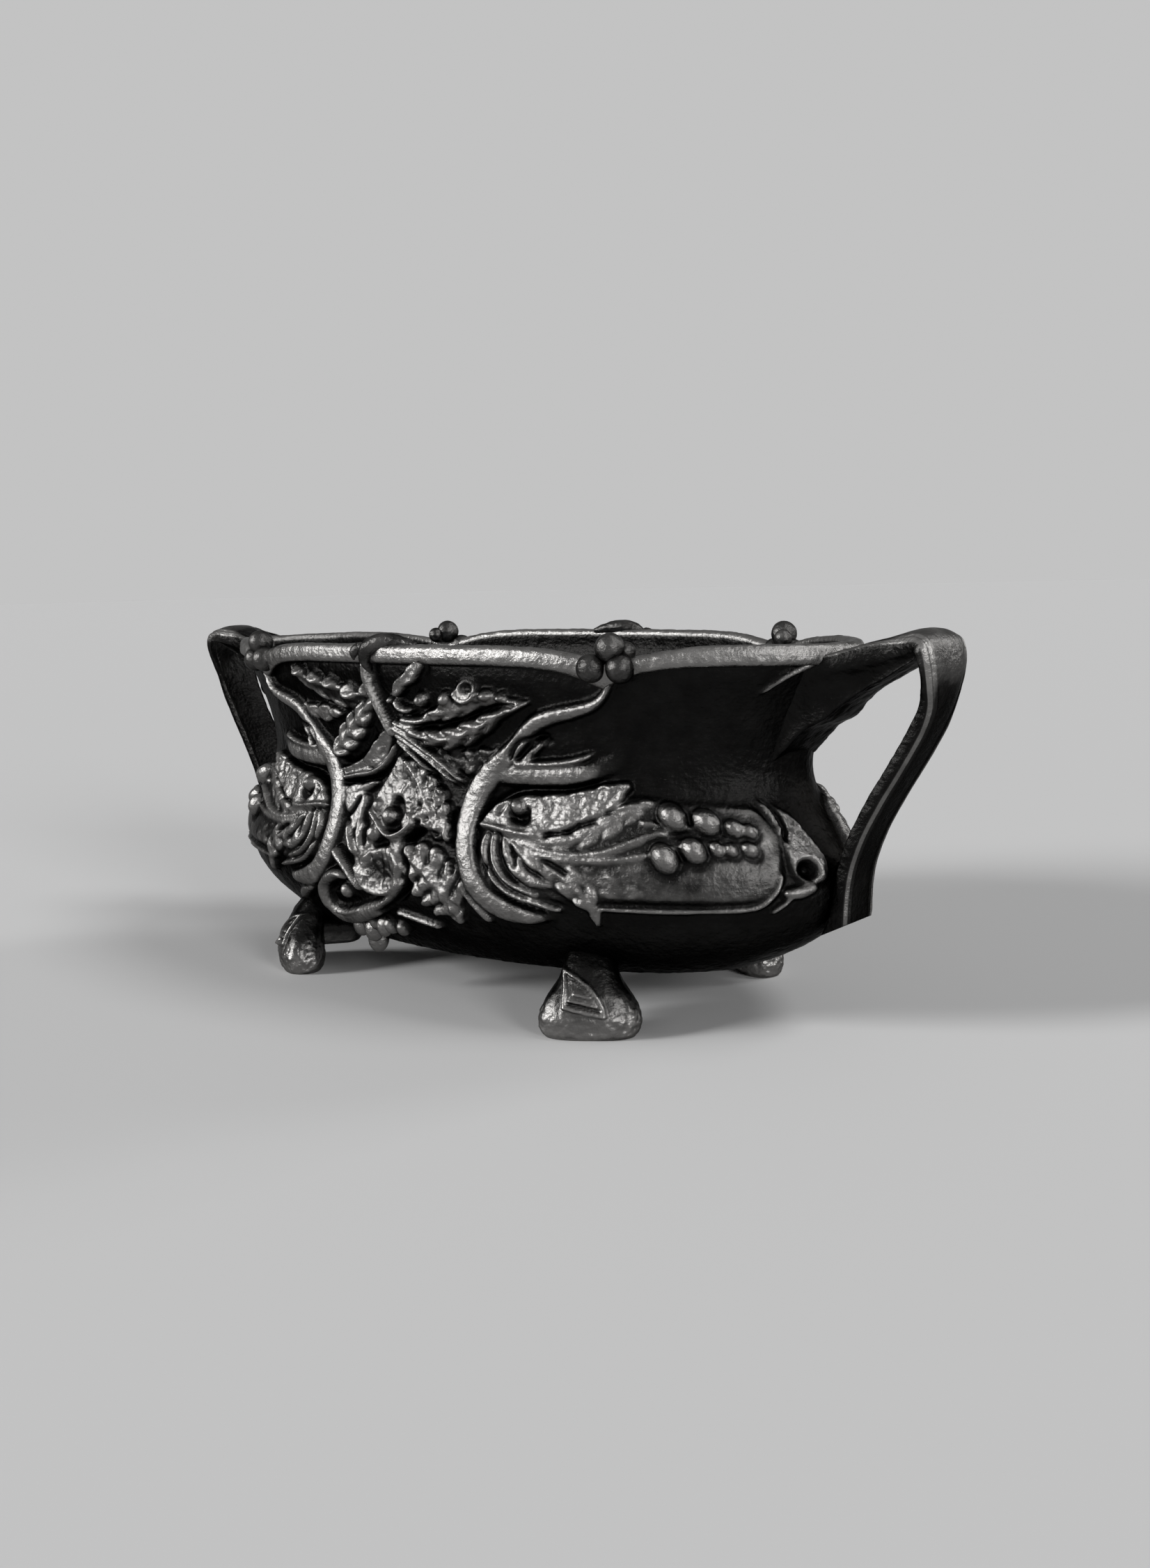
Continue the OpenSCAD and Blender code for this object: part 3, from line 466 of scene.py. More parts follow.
def draw_side_leaves(sheet):
    # The rough veined leaf between the scroll and the right-hand band
    sheet.leaf([(9, 89, 2), (16.5, 84, 11), (24.5, 79, 16.5), (33, 72.5, 17.5), (41, 63.5, 12.5),
        (47, 54.5, 1.2)], 5.4, 5.2, slant=0.6, teeth=0.24, rib=1.5, cup=0.15, vein=0.6, crumple=0.9)
    sheet.groove([(46, 88, 0.8), (43, 83, 1.7), (44, 78, 1)], 4)
    sheet.groove([(30, 93.8, 1), (37, 90, 1.3), (46, 84.5, 0.8)], 2.4)
    # The crumpled leaf under the stems
    sheet.leaf([(5.5, 134, 2), (12, 128.5, 9), (18, 121, 12.5), (25, 112, 14), (32, 103, 11), (38, 96, 2)],
        5, 5.5, slant=0.4, teeth=0.24, rib=0, cup=0.1, vein=0.35, crumple=1.3)
    sheet.groove([(44, 112, 1), (41, 106, 2), (44, 98, 1.8), (40, 92, 1)], 3.6)
    sheet.groove([(21, 98.5, 0.8), (28, 98.2, 1.6), (38, 95, 1)], 3)
    sheet.leaf([(28, 140, 2), (38, 137.5, 6), (50, 136, 7.4), (60, 138, 6), (72, 143, 2)], 3.8, 4, cup=0.35,
        vein=0.4, crumple=0.7)
    sheet.strand([(47, 79, 1.5), (50.5, 72, 2.8), (56, 66, 3.2), (62.5, 60, 2.6), (68, 55, 1)], 5, start=5,
        end=5)


def draw_left_folds(sheet):
    """Folded strips between the pod and the left-hand band."""
    sheet.leaf([(-20, 121, 1), (-30, 117.5, 4), (-42, 114, 5), (-54, 114.5, 3), (-62, 118, 0.8)], 5, 3,
        cup=0.2, vein=0.2)
    sheet.pad([(-48, 107), (-46, 112.5), (-27, 115), (-25, 102), (-30, 92), (-38, 98)], 4, edge=2.5,
        crown=0.5)
    sheet.groove([(-31, 113, 0.9), (-33.8, 107, 1.6), (-38, 102, 1.5), (-45, 99.5, 1)], 3.8)
    sheet.strand([(-27, 104, 1.8), (-27.5, 97, 2), (-25.5, 89, 2), (-22.5, 82, 1.2)], 5.4, start=5, end=4)
    sheet.strand([(-35, 99, 1.4), (-33.5, 91.5, 2.5), (-29.5, 85, 2.4), (-24.5, 81, 1.2)], 7, start=4,
        end=3)
    sheet.strand([(-45, 85.5, 1.4), (-42.5, 81, 3), (-36.5, 76.5, 3), (-31, 71.5, 2.6), (-26, 66.5, 2.2),
        (-21, 62, 1.2)], 7.6, start=4, end=4)
    sheet.strand([(-24.5, 78, 1.2), (-21, 71, 1.6), (-16, 66.8, 1.4)], 7.8, start=3, end=3)
    sheet.groove([(-31, 80, 0.8), (-28, 75, 1.5), (-24, 71, 1)], 3.4)
    sheet.groove([(-40, 95, 0.8), (-38.5, 87, 1.3), (-33, 80, 1.3), (-28, 77.5, 0.8)], 3)
    sheet.strand([(-52, 80, 1), (-57, 75, 1.6), (-60, 69, 1.4)], 4.2, start=3, end=3)


def draw_stems(sheet):
    """Long stems that fall from the stalk to the right-hand band."""
    for path in (
            [(-4, 154.5, 1.7), (8, 149.2, 1.9), (20, 143.2, 1.8), (32, 136.6, 1.7), (43, 129.6, 1.5),
             (50, 123.5, 0.9)],
            [(-2, 150.6, 1.5), (9, 145.2, 1.6), (21, 139, 1.7), (33, 131.8, 1.6), (45, 123.5, 1)],
            [(-1, 147.5, 1.3), (9, 141.2, 1.6), (20, 134.2, 1.5), (29, 128.4, 0.9)]):
        sheet.strand(path, 7.6, start=4, end=6)
    # The fine midrib across the crumpled leaf
    sheet.strand([(5.5, 135, 0.9), (12, 129, 1), (16.8, 122.6, 0.9), (23, 113.5, 0.9), (30.5, 106, 0.6)], 7,
        end=4)


def draw_holly(sheet):
    # Right-hand leaf in two halves, the lower one ribbed
    sheet.leaf([(16, 157, 1), (30, 160, 4), (42, 163.2, 6), (54, 165, 5.4), (66, 168, 3.6), (78, 169, 1.8),
        (91, 168, 0.5)], 5, 6, slant=0.9, teeth=0.22, rib=0.4, turn=0.2, crumple=0.5)
    sheet.leaf([(1, 156, 1.5), (12, 152, 3.2), (24, 149, 4.8), (38, 148.4, 6.4), (52, 151.4, 7.2),
        (64, 156.4, 5.8), (76, 163, 3.2), (89, 167.6, 0.6)], 7.4, 6.4, slant=0.9, teeth=0.14, rib=0,
        cup=-0.1, vein=0.7, turn=0.12, crumple=0.5)
    sheet.groove([(5, 158.4, 1), (14, 155, 1.3), (26, 154, 1.6), (40, 155.6, 1.7), (54, 160, 1.4),
        (66, 164.6, 1.1), (78, 167.4, 0.7)], 3.6)
    sheet.strand([(4, 158, 1.6), (14, 157, 2.6), (22, 157.4, 2.2), (28, 159.5, 1)], 7, start=3, end=3)
    for s, z, r, wide in ((39.5, 169.5, 4.2, 1.1), (66, 172, 3.2, 1.6), (75, 171.5, 2.2, 1.6)):
        sheet.berry(s, z, r, rise=7.6, wide=wide)
    sheet.berry(53.3, 173.6, 6, rise=6, wide=1.25)
    sheet.hollow(53.3, 175.4, 5.4, 3.6, 4.4)
    sheet.strand([(45.6, 175.4, 0.8), (47.5, 171.4, 1.1), (53, 169, 1.3), (58.6, 171, 1.1), (61, 175, 0.8)],
        8.4, start=2, end=2)
    sheet.strand([(70, 172.5, 0.8), (80, 169.8, 1), (90, 168.4, 0.7)], 6.4, start=3)
    # Petals and small berries beside the stalk
    sheet.leaf([(14, 178, 2.5), (18, 181.5, 4.4), (23, 186, 3)], 7.4, 1, teeth=0, rib=0, cup=0.25, vein=0)
    sheet.leaf([(5.5, 172, 2.5), (9, 175.8, 4), (13, 180, 2.6)], 7.2, 1, teeth=0, rib=0, cup=0.25, vein=0)
    sheet.strand([(3, 169.6, 1), (6, 164.6, 2.4), (11, 162.6, 2.2), (16, 163.4, 1)], 7, start=2, end=2)
    for s, z, r in ((22.5, 168.5, 4.2), (-2.4, 167.2, 2.3)):
        sheet.berry(s, z, r, rise=r + 3.6)


def draw_left_leaves(sheet):
    # Scalloped upper edge, each scallop a small cup with a bright lower lip
    sheet.leaf([(-14, 168, 1.5), (-26, 166, 5), (-40, 167, 7), (-54, 169.5, 6.5), (-68, 172.5, 5),
        (-80, 176.5, 3.4), (-92, 183, 0.8)], 4.4, 5, slant=0.6, teeth=0.15, rib=0.4, cup=0.4, vein=0.3)
    for s, z, r, wide in ((-20, 172.5, 4.2, 1.0), (-36, 170.5, 5, 1.4), (-51.5, 175.4, 3.8, 1.7),
            (-66, 177.8, 3.8, 1.7), (-81, 181.4, 3.6, 1.5)):
        sheet.berry(s, z, r, rise=7.6, wide=wide)
        sheet.hollow(s + 1.5, z + 1.8, r * 0.85 * wide, r * 0.62, 4)
    # A blunt leaf that points left, and the cross-veined leaf in front of it
    sheet.leaf([(-48, 158, 1), (-58, 158, 4.6), (-70, 157.4, 5.6), (-82, 158.5, 3.6), (-90, 162, 0.8)], 4.6,
        3, vein=0.35)
    sheet.leaf([(-15, 166.5, 2), (-25, 159.6, 6.4), (-36, 151.6, 8.8), (-47.5, 143.6, 8.4), (-59, 136, 5),
        (-71, 129.5, 0.8)], 6.8, 5.5, slant=0.6, teeth=0.14, rib=0.6, cup=0.05, vein=0.7, turn=0.1)
    # The smooth folded leaf that falls to the left under them
    sheet.leaf([(-3, 152, 1.5), (-8.5, 146.5, 5.4), (-14, 140.6, 6.6), (-22, 135, 6.4), (-32, 130.4, 4.8),
        (-44, 126.6, 3.8), (-62, 123, 1)], 6.2, 3.5, slant=0.5, teeth=0.12, rib=0.4, vein=0.15, turn=-0.2)
    sheet.strand([(-0.5, 146, 1), (-4.5, 138.6, 2), (-12, 131.6, 2.1), (-22, 126.6, 2), (-38, 123.6, 1.9),
        (-54, 120.4, 1.4), (-66, 118.5, 0.8)], 6.8, start=5)
    sheet.groove([(-12, 155.5, 1.2), (-18, 149.5, 2.2), (-22.5, 143.5, 2.2), (-29, 138.4, 2.2),
        (-36, 134, 2), (-48, 130, 1.6), (-64, 127, 1)], 4.4)
    sheet.groove([(-14, 127.5, 0.9), (-24, 123, 1.6), (-40, 120, 1.5), (-56, 117, 1)], 3.4)


def draw_stalk(sheet):
    """The stalk that comes over the rim, with a deep shadow on its right."""
    sheet.groove([(-7, 184, 1.2), (-7.5, 177, 2.4), (-6, 170, 2.4), (-3, 163, 1.4)], 2.5)
    sheet.strand([(-14, 191, 2.2), (-14.8, 184, 2.3), (-14.4, 177, 2.3), (-12.4, 170, 2.4),
        (-9.4, 162.6, 2.6), (-5.4, 155, 3), (-2, 149.5, 2.4)], 8)


def wall_heights():
    """The ornament's height and crumpling on the drawing grid."""
    corner = Sheet(mirrored=True)
    draw_corner(corner)
    side = Sheet(mirrored=False)
    draw_side(side)
    # The long side's ornament stops at the bands, which lie over it
    raised = np.maximum(corner.h, 0)
    cover = smooth(np.abs(GS), 40, 60) * smooth(raised, 0.5, 2.5)
    uncovered = side.h * (1 - cover)
    heights = np.where(side.h > 0, np.maximum(uncovered, raised), uncovered + raised)
    crumple = np.where(side.h > raised, side.crumple, corner.crumple)
    return heights + np.where(np.abs(GS) > 44, np.minimum(corner.h, 0), 0), crumple


def blurred(grid, passes):
    """The grid softened along its rows and along its columns, which close on themselves."""
    for _ in range(passes):
        around = (np.roll(grid, 1, 1) + np.roll(grid, -1, 1) + 2 * grid) / 4
        up = np.concatenate([around[1:], around[-1:]])
        down = np.concatenate([around[:1], around[:-1]])
        grid = (up + down + 2 * around) / 4
    return grid


def normals_of(grid):
    """Outward normals of a closed band of points, rows upward and columns round the oval."""
    return unit(np.cross(np.roll(grid, -1, 1) - np.roll(grid, 1, 1), np.gradient(grid, axis=0)))


def make_object(name, points, faces, material, wear_and_painted_light=None):
    """A mesh object from points in millimetres. Castings are smooth and carry their wear and painted light.
    """
    mesh = bpy.data.meshes.new(name)
    mesh.from_pydata((np.asarray(points, float) * MM).tolist(), [], faces)
    if wear_and_painted_light is not None:
        mesh.polygons.foreach_set("use_smooth", [True] * len(mesh.polygons))
        layer = mesh.attributes.new("wear_and_painted_light", "FLOAT", "POINT")
        layer.data.foreach_set("value", np.asarray(wear_and_painted_light, np.float32))
    mesh.materials.append(material)
    obj = bpy.data.objects.new(name, mesh)
    bpy.context.scene.collection.objects.link(obj)
    return obj


def band_faces(rows, cols):
    """Quads between consecutive rows of a closed ring grid."""
    i = np.arange(rows - 1)[:, None] * cols
    j = np.arange(cols)[None, :]
    k = (j + 1) % cols
    return np.stack([i + j, i + k, i + cols + k, i + cols + j], -1).reshape(-1, 4)


def closed_faces(rows, cols):
    """Faces of a ring grid that is closed at both ends."""
    last = (rows - 1) * cols
    ends = [list(range(cols - 1, -1, -1)), list(range(last, last + cols))]
    return band_faces(rows, cols).tolist() + ends


# Materials. A value given to a node's input is a constant, or a socket to link to it.
def feed(tree, socket, value):
    if isinstance(value, bpy.types.NodeSocket):
        tree.links.new(value, socket)
    else:
        socket.default_value = value


def tune(tree, n, **values):
    """Set a node's inputs and properties by their names, with _ for a space."""
    for key, value in values.items():
        name = key.replace("_", " ")
        if name in n.inputs:
            feed(tree, n.inputs[name], value)
        else:
            setattr(n, key, value)


def node(tree, kind, output, **values):
    """The named output of a new shader node."""
    n = tree.nodes.new("ShaderNode" + kind)
    tune(tree, n, **values)
    return n.outputs[output]


def maths(tree, operation, *terms):
    n = tree.nodes.new("ShaderNodeMath")
    n.operation = operation
    for socket, term in zip(n.inputs, terms):
        feed(tree, socket, term)
    return n.outputs["Value"]


def ramp(tree, share, *colours):
    """A colour from evenly spaced ones, by a share from 0 to 1."""
    colour = node(tree, "ValToRGB", "Color", Fac=share)
    stops = colour.node.color_ramp.elements
    for i in range(1, len(colours) - 1):
        stops.new(i / (len(colours) - 1))
    for stop, tone in zip(stops, colours):
        stop.color = (*tone, 1)
    return colour


def new_material(name, **values):
    """A material with its tree and its shader, whose inputs are set from values."""
    material = bpy.data.materials.new(name)
    material.use_nodes = True
    tree = material.node_tree
    shader = tree.nodes["Principled BSDF"]
    tune(tree, shader, **values)
    return material, tree, shader


# The iron's tones, from what lies low to what stands out, and how far they vary in patches. The lowest tone
# is painted shade, and the brightest is rubbing and painted highlight.
PAINTED_SHADE_BLACK = (0.008, 0.0078, 0.0076)
DARK = (0.022, 0.0215, 0.021)
BURNISHED_AND_HIGHLIGHT = (0.23, 0.225, 0.219)
PATCHES = 0.5


def iron(name, coarse=1.0):
    """Blackened cast iron with painted light: near black where it lies low, as painted shade, and burnished
    bright where it stands out, as rubbing and painted highlight.
    """
    material, tree, shader = new_material(name, Metallic=1.0, Specular_Tint=(0.4, 0.4, 0.4, 1))
    place = node(tree, "TexCoord", "Object")
    fine = node(tree, "TexNoise", "Fac", Vector=place, Scale=900 / coarse, Detail=5.0, Roughness=0.62)
    pits = node(tree, "TexVoronoi", "Distance", Vector=place, Scale=420 / coarse)
    broad = node(tree, "TexNoise", "Fac", Vector=place, Scale=70.0, Detail=5.0, Roughness=0.65)
    drawn = node(tree, "Mapping", "Vector", Vector=place, Scale=(120, 120, 620))
    streaks = node(tree, "TexNoise", "Fac", Vector=drawn, Scale=1.0, Detail=3.0, Roughness=0.5)
    # How far each spot is burnished, with painted shade where this is low and painted highlight where it is
    # high
    wear_and_painted_light = node(tree, "Attribute", "Fac", attribute_name="wear_and_painted_light")
    patchy = maths(tree, "MULTIPLY_ADD", broad, PATCHES, wear_and_painted_light)
    shown = node(tree, "MapRange", "Result", Value=patchy, From_Min=PATCHES / 2,
                 From_Max=PATCHES / 2 + 1)
    tone = ramp(tree, shown, PAINTED_SHADE_BLACK, DARK, BURNISHED_AND_HIGHLIGHT)
    gloss = node(tree, "MapRange", "Result", Value=broad, From_Min=0.25, From_Max=0.75,
                 To_Min=0.24, To_Max=0.4)
    ripple = node(tree, "Bump", "Normal", Height=streaks, Strength=0.35, Distance=0.0006)
    grain = node(tree, "Bump", "Normal", Height=fine, Normal=ripple, Strength=0.5, Distance=0.0006)
    dents = node(tree, "Bump", "Normal", Height=pits, Normal=grain, Strength=0.3, Distance=0.0007)
    tune(tree, shader, Base_Color=tone, Roughness=gloss, Normal=dents)
    return material


def metal(name, colour, roughness, scale, spread):
    """Bare or plated metal with a mottled finish."""
    material, tree, shader = new_material(name, Metallic=1.0)
    place = node(tree, "TexCoord", "Object")
    spangle = node(tree, "TexVoronoi", "Color", Vector=place, Scale=scale)
    cloud = node(tree, "TexNoise", "Fac", Vector=place, Scale=scale * 0.7, Detail=6.0, Roughness=0.6)
    tone = ramp(tree, spangle, [c * (1 - spread) for c in colour],
                [min(1, c * (1 + spread)) for c in colour])
    gloss = node(tree, "MapRange", "Result", Value=cloud, To_Min=roughness * 0.75,
                 To_Max=roughness * 1.3)
    bump = node(tree, "Bump", "Normal", Height=cloud, Strength=0.12, Distance=0.0002)
    tune(tree, shader, Base_Color=tone, Roughness=gloss, Normal=bump)
    return material


bowl_iron = iron("bowl_black_iron")
handle_iron = iron("handle_black_iron")
foot_iron = iron("foot_black_iron", coarse=1.6)
galvanised = metal("galvanised_sheet", (0.42, 0.43, 0.44), 0.42, 90, 0.18)
fittings = metal("galvanised_fittings", (0.38, 0.39, 0.40), 0.38, 260, 0.12)
plated = metal("plated_fasteners", (0.20, 0.20, 0.205), 0.4, 420, 0.15)
for finish, names in (
        (galvanised, ["liner"]),
        (fittings, ["ring_clip_left", "ring_clip_right", "clip_rivets", "liner_ring_left",
                    "liner_ring_right"]),
        (plated, ["handle_screws", "handle_washers", "foot_bolts", "foot_washers"])):
    for name in names:
        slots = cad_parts[name].data.materials
        slots.clear()
        slots.append(finish)


# The rolled rim's section as [growth, share of the way up from its lower edge]
LIP_SECTION = [
    (0.4, 0.02), (1.4, -0.06), (2.5, -0.02), (3.3, 0.08), (3.7, 0.2), (3.75, 0.36), (3.6, 0.5),
    (3.5, 0.62), (3.2, 0.76), (2.5, 0.88), (1.4, 0.96), (0, 1.0), (-1.6, 1.0), (-3.2, 0.96),
    (-4.4, 0.87), (-5, 0.74)]

# The relief on the belly is eased in from the first half width so that it never passes the second
FREE_Y, MOST_Y = 106.2, 108

# The floor's top inside the bowl, and the shares of the oval's size that cross it and the underside
FLOOR_Z = 33
FLOOR_ROWS = [(0.985, 36.5), (0.95, 34), (0.9, 33.2), (0.75, FLOOR_Z), (0.5, FLOOR_Z), (0.25, FLOOR_Z)]
UNDER_SHARES = (0.2, 0.5, 0.8, 0.94)


def full_turn(half):
    """What is known for half a turn, repeated for the back."""
    return np.concatenate([half, half], -1)


def make_bowl():
    heights, crumple = wall_heights()
    h = full_turn(blurred(heights, 1))
    turns = turn_of(COLS)
    turns = np.concatenate([turns, turns + math.pi])
    z = full_turn(GZ)
    base = on_oval(turns, z)
    casting = rough(base, 9, 0.16) + rough(base + 300, 2.6, 0.15)
    casting += full_turn(crumple) * rough(base, 2.9, 1.0)
    undercut = 1.6 * smooth(z - full_turn(TOPS), -9, 0)
    wall = base + normals_of(base) * (h + casting - undercut)[..., None]
    wide = np.abs(wall[..., 1])
    eased = FREE_Y + (MOST_Y - FREE_Y) * np.tanh((wide - FREE_Y) / (MOST_Y - FREE_Y))
    wall[..., 1] = np.sign(wall[..., 1]) * np.where(wide > FREE_Y, eased, wide)
    # The rim, its height following the dips at the corners
    low, high = full_turn(lip_low(COLS)), full_turn(lip_top(COLS))
    outward = unit(on_oval(turns, 100) * [1, 1, 0])
    rim = []
    for growth, share in LIP_SECTION:
        at = on_oval(turns, low + (high - low) * share, growth)
        hammered = rough(at, 7, 0.3) + rough(at, 2.4, 0.16)
        top = smooth(share, 0.7, 0.95)
        rim.append(at + hammered[:, None] * ((1 - 0.7 * top) * outward + [0, 0, 0.8 * top]))
    # The inside, down to the floor and across it
    inner = []
    for height in [*range(191, 172, -3), *range(168, 40, -6)]:
        at = on_oval(turns, height, -WALL)
        at[:, 2] -= (RIM_Z - high) * smooth(height, 140, 191)
        inner.append(at - (rough(at, 6, 0.5) * smooth(height, 150, 175))[:, None] * outward)
    edge = on_oval(turns, 40, -WALL)
    inner += [edge * [share, share, 0] + [0, 0, height] for share, height in FLOOR_ROWS]
    edge = on_oval(turns, BASE_Z)
    under = [edge * [share, share, 0] + [0, 0, BASE_Z] for share in UNDER_SHARES]
    rings = np.concatenate([under, wall, rim, inner])
    rows, cols = rings.shape[:2]
    points = np.concatenate([rings.reshape(-1, 3), [[0, 0, BASE_Z], [0, 0, FLOOR_Z]]])
    # The middles of the underside and the floor are closed by fans
    pairs = [(j, (j + 1) % cols) for j in range(cols)]
    end, last = rows * cols, (rows - 1) * cols
    faces = band_faces(rows, cols).tolist() + [(k, j, end) for j, k in pairs]
    faces += [(last + j, last + k, end + 1) for j, k in pairs]
    # Wear and painted light: brighter where the surface stands out from its surroundings, as rubbing and
    # painted highlight, and near black in its hollows and on the bare neck and belly, as painted shade. The
    # rim is painted bright all round, as a highlight.
    wear_and_painted_light = np.zeros((rows, cols))
    first = len(under)
    lip = first + len(h)
    wear_and_painted_light[first:lip] = np.clip(0.08 + 0.16 * h + 0.22 * (h - blurred(h, 40)), 0, 0.84)
    wear_and_painted_light[lip:lip + len(rim)] = 0.9
    return make_object("bowl_casting", points, faces, bowl_iron, np.append(wear_and_painted_light, [0, 0]))


def ball(centre, r, squash=(1, 1, 1)):
    """Points and faces of a slightly uneven sphere."""
    steps = 14
    turns = [math.pi * j / steps for j in range(2 * steps)]
    points = [[0, 0, 1]]
    for a in turns[1:steps]:
        points += [[math.sin(a) * math.cos(t), math.sin(a) * math.sin(t), math.cos(a)] for t in turns]
    p = np.array(points + [[0, 0, -1]])
    p = centre + p * (r * np.array(squash)) + p * rough(centre + p * r, 3, 0.12)[:, None]
    cols, last = len(turns), len(p) - 1
    pairs = [(j, (j + 1) % cols) for j in range(cols)]
    faces = [(0, 1 + j, 1 + k) for j, k in pairs]
    faces += (band_faces(steps - 1, cols)[:, [0, 3, 2, 1]] + 1).tolist()
    faces += [(last, last - cols + k, last - cols + j) for j, k in pairs]
    return p, faces


def held(rows):
    """A spline's rows with the ends given twice, so that it starts and ends on them."""
    return np.pad(np.array(rows, float), ((1, 1), (0, 0)), mode="edge")


def tube(path):
    """Points and faces of a round bar along [x, y, z, radius], closed at both ends."""
    dense = spline(held(path), math.inf, 8)
    along = unit(np.gradient(dense[:, :3], axis=0))
    side = unit(np.cross(along, [1, 0, 0.2]))
    cols = 20
    turn = np.linspace(0, 2 * math.pi, cols, endpoint=False)[None, :, None]
    ring = side[:, None] * np.cos(turn) + np.cross(along, side)[:, None] * np.sin(turn)
    p = (dense[:, None, :3] + ring * dense[:, None, 3:]).reshape(-1, 3)
    p = p + rough(p, 4, 0.25)[:, None] * ring.reshape(-1, 3)
    return p, closed_faces(len(dense), cols)


def join_parts(parts):
    """Many lists of points and faces as one."""
    points, faces, first = [], [], 0
    for p, f in parts:
        points.append(p)
        faces += [[first + i for i in face] for face in f]
        first += len(p)
    return np.concatenate(points), faces


def make_details(name, parts, wear_and_painted_light):
    """Small castings on the bowl as one mesh, each with its twin half a turn round."""
    twins = []
    for points, faces in parts:
        twins += [(points, faces), (points * [-1, -1, 1], faces)]
    points, faces = join_parts(twins)
    return make_object(name, points, faces, bowl_iron, np.full(len(points), wear_and_painted_light))


def join_objects(objects):
    bpy.ops.object.select_all(action="DESELECT")
    for obj in objects:
        obj.select_set(True)
    bpy.context.view_layer.objects.active = objects[0]
    bpy.ops.object.join()
    return objects[0]


# The berries on the rim's four corners as [s, z, how far outward, radius], the curled stalk over
# the middle of each long rim with its knob, and the drops that hang from the low edge
CORNER_BERRIES = [
    (122, 185.6, 2.2, 7.2), (136.4, 185.2, 2.4, 7.2), (131.5, 195.2, 0.8, 7.3), (139.5, 193, -5, 5)]
CURL = [
    (-14.6, -96.4, 178, 2.6), (-14.8, -100.2, 184, 3), (-14, -102.6, 189, 3.6),
    (-11.6, -103.2, 193.6, 4.3), (-7.6, -100.8, 196.8, 4.7), (-2, -98, 197.8, 4.5),
    (4, -96, 197.6, 3.8), (10, -94.8, 196.8, 2.8), (16, -94, 195.6, 1.5)]
KNOB = [
    (-24, -100.4, 188.5, 1.6), (-23.2, -101.4, 192, 3), (-20.4, -100.6, 194.6, 3),
    (-17, -100.4, 193.6, 2.4)]
DROPS = [(-40.5, -89.5, 38.5, 6), (-29.5, -90.5, 37.5, 6.4), (-17, -94, 41.5, 5.4), (-32, -85.5, 30.5, 6.8)]

rim_parts = [ball(on_oval(turn_of(side * s), z, out), r)
             for s, z, out, r in CORNER_BERRIES for side in (-1, 1)] + [tube(CURL), tube(KNOB)]
drops = [ball(np.array(centre), r, squash=(0.95, 0.8, 1.15)) for *centre, r in DROPS]
# The rim berries are half bright and the drops under the belly bright, as burnishing and painted highlight.
bowl = join_objects([make_bowl(), make_details("rim_berries", rim_parts, 0.6),
                     make_details("under_drops", drops, 0.85)])
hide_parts("bowl")
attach(bowl, "planter")


def kept_in_wall(points):
    """What lies inside the bowl's wall is drawn out to the middle of the wall."""
    height = points[..., 2]
    hx, hy = level(height, LENGTHS) - WALL / 2, level(height, WIDTHS) - WALL / 2
    ratio = np.hypot(points[..., 0] / hx, points[..., 1] / hy)
    fix = np.where((height > BASE_Z) & (ratio < 1), 1 / np.maximum(ratio, 0.01), 1)
    return points * np.stack([fix, fix, 0 * fix + 1], -1)


# The handle's outer face from the neck over the bend and down the leg, as
# [x, z, half width, strap depth, full depth, half width of the web, tilt of the section in degrees]
LEG = (13.5, 7.7, 7.9, 13, 0)
HANDLE = [
    (166, 175, 32, 5, 44, 20, 0), (178, 180, 30, 5.5, 39, 19, 0),
    (186, 183.3, 27.5, 6.5, 36, 18.5, 0), (196, 186.3, 24.5, 7.5, 33, 18, 0),
    (205, 188.3, 22.5, 8, 31, 18, 0), (215, 190.6, 20, 8.6, 25, 14, 0),
    (225, 193.2, 17.4, 9.2, 20.8, 11, 0), (235, 196, 15.4, 9.8, 18.4, 11, 0),
    (245, 198.9, 15, 10.4, 15.8, 11.5, 0), (252, 201, 16.6, 10.6, 14.4, 12.5, 0),
    (259, 202.2, 18.6, 10.4, 12.6, 14, 0), (265, 201, 20.4, 10, 11, 15.6, 0),
    (269.4, 197.4, 21.4, 9.6, 10, 16.6, 0), (271.6, 190.5, 21.4, 9, 9.2, 16.6, 0),
    (272, 182.5, 19.6, 8.4, 8.6, 15.8, 0), (270.6, 174, 17, 8, 8.2, 14.4, 0),
    (268, 165, 14.2, 7.7, 7.9, 13.4, 0), (263.6, 155.5, 13.6, 7.7, 7.9, 13, 0),
    (257.4, 144.5, *LEG), (250.8, 133.5, *LEG), (244.2, 123, *LEG), (238.4, 113, *LEG),
    (233.6, 104, *LEG), (229.8, 95, *LEG), (226.8, 86, 13.5, 7.8, 8, 13, 0),
    (225, 76, 13.6, 8, 8.2, 13, 0), (224.4, 68, 13.8, 9, 9.4, 13, 6),
    (224.2, 62.5, 14, 11, 12, 12.5, 20), (223.8, 59.2, 13.6, 15, 17, 11.5, 34)]
FACE_POINTS = 61


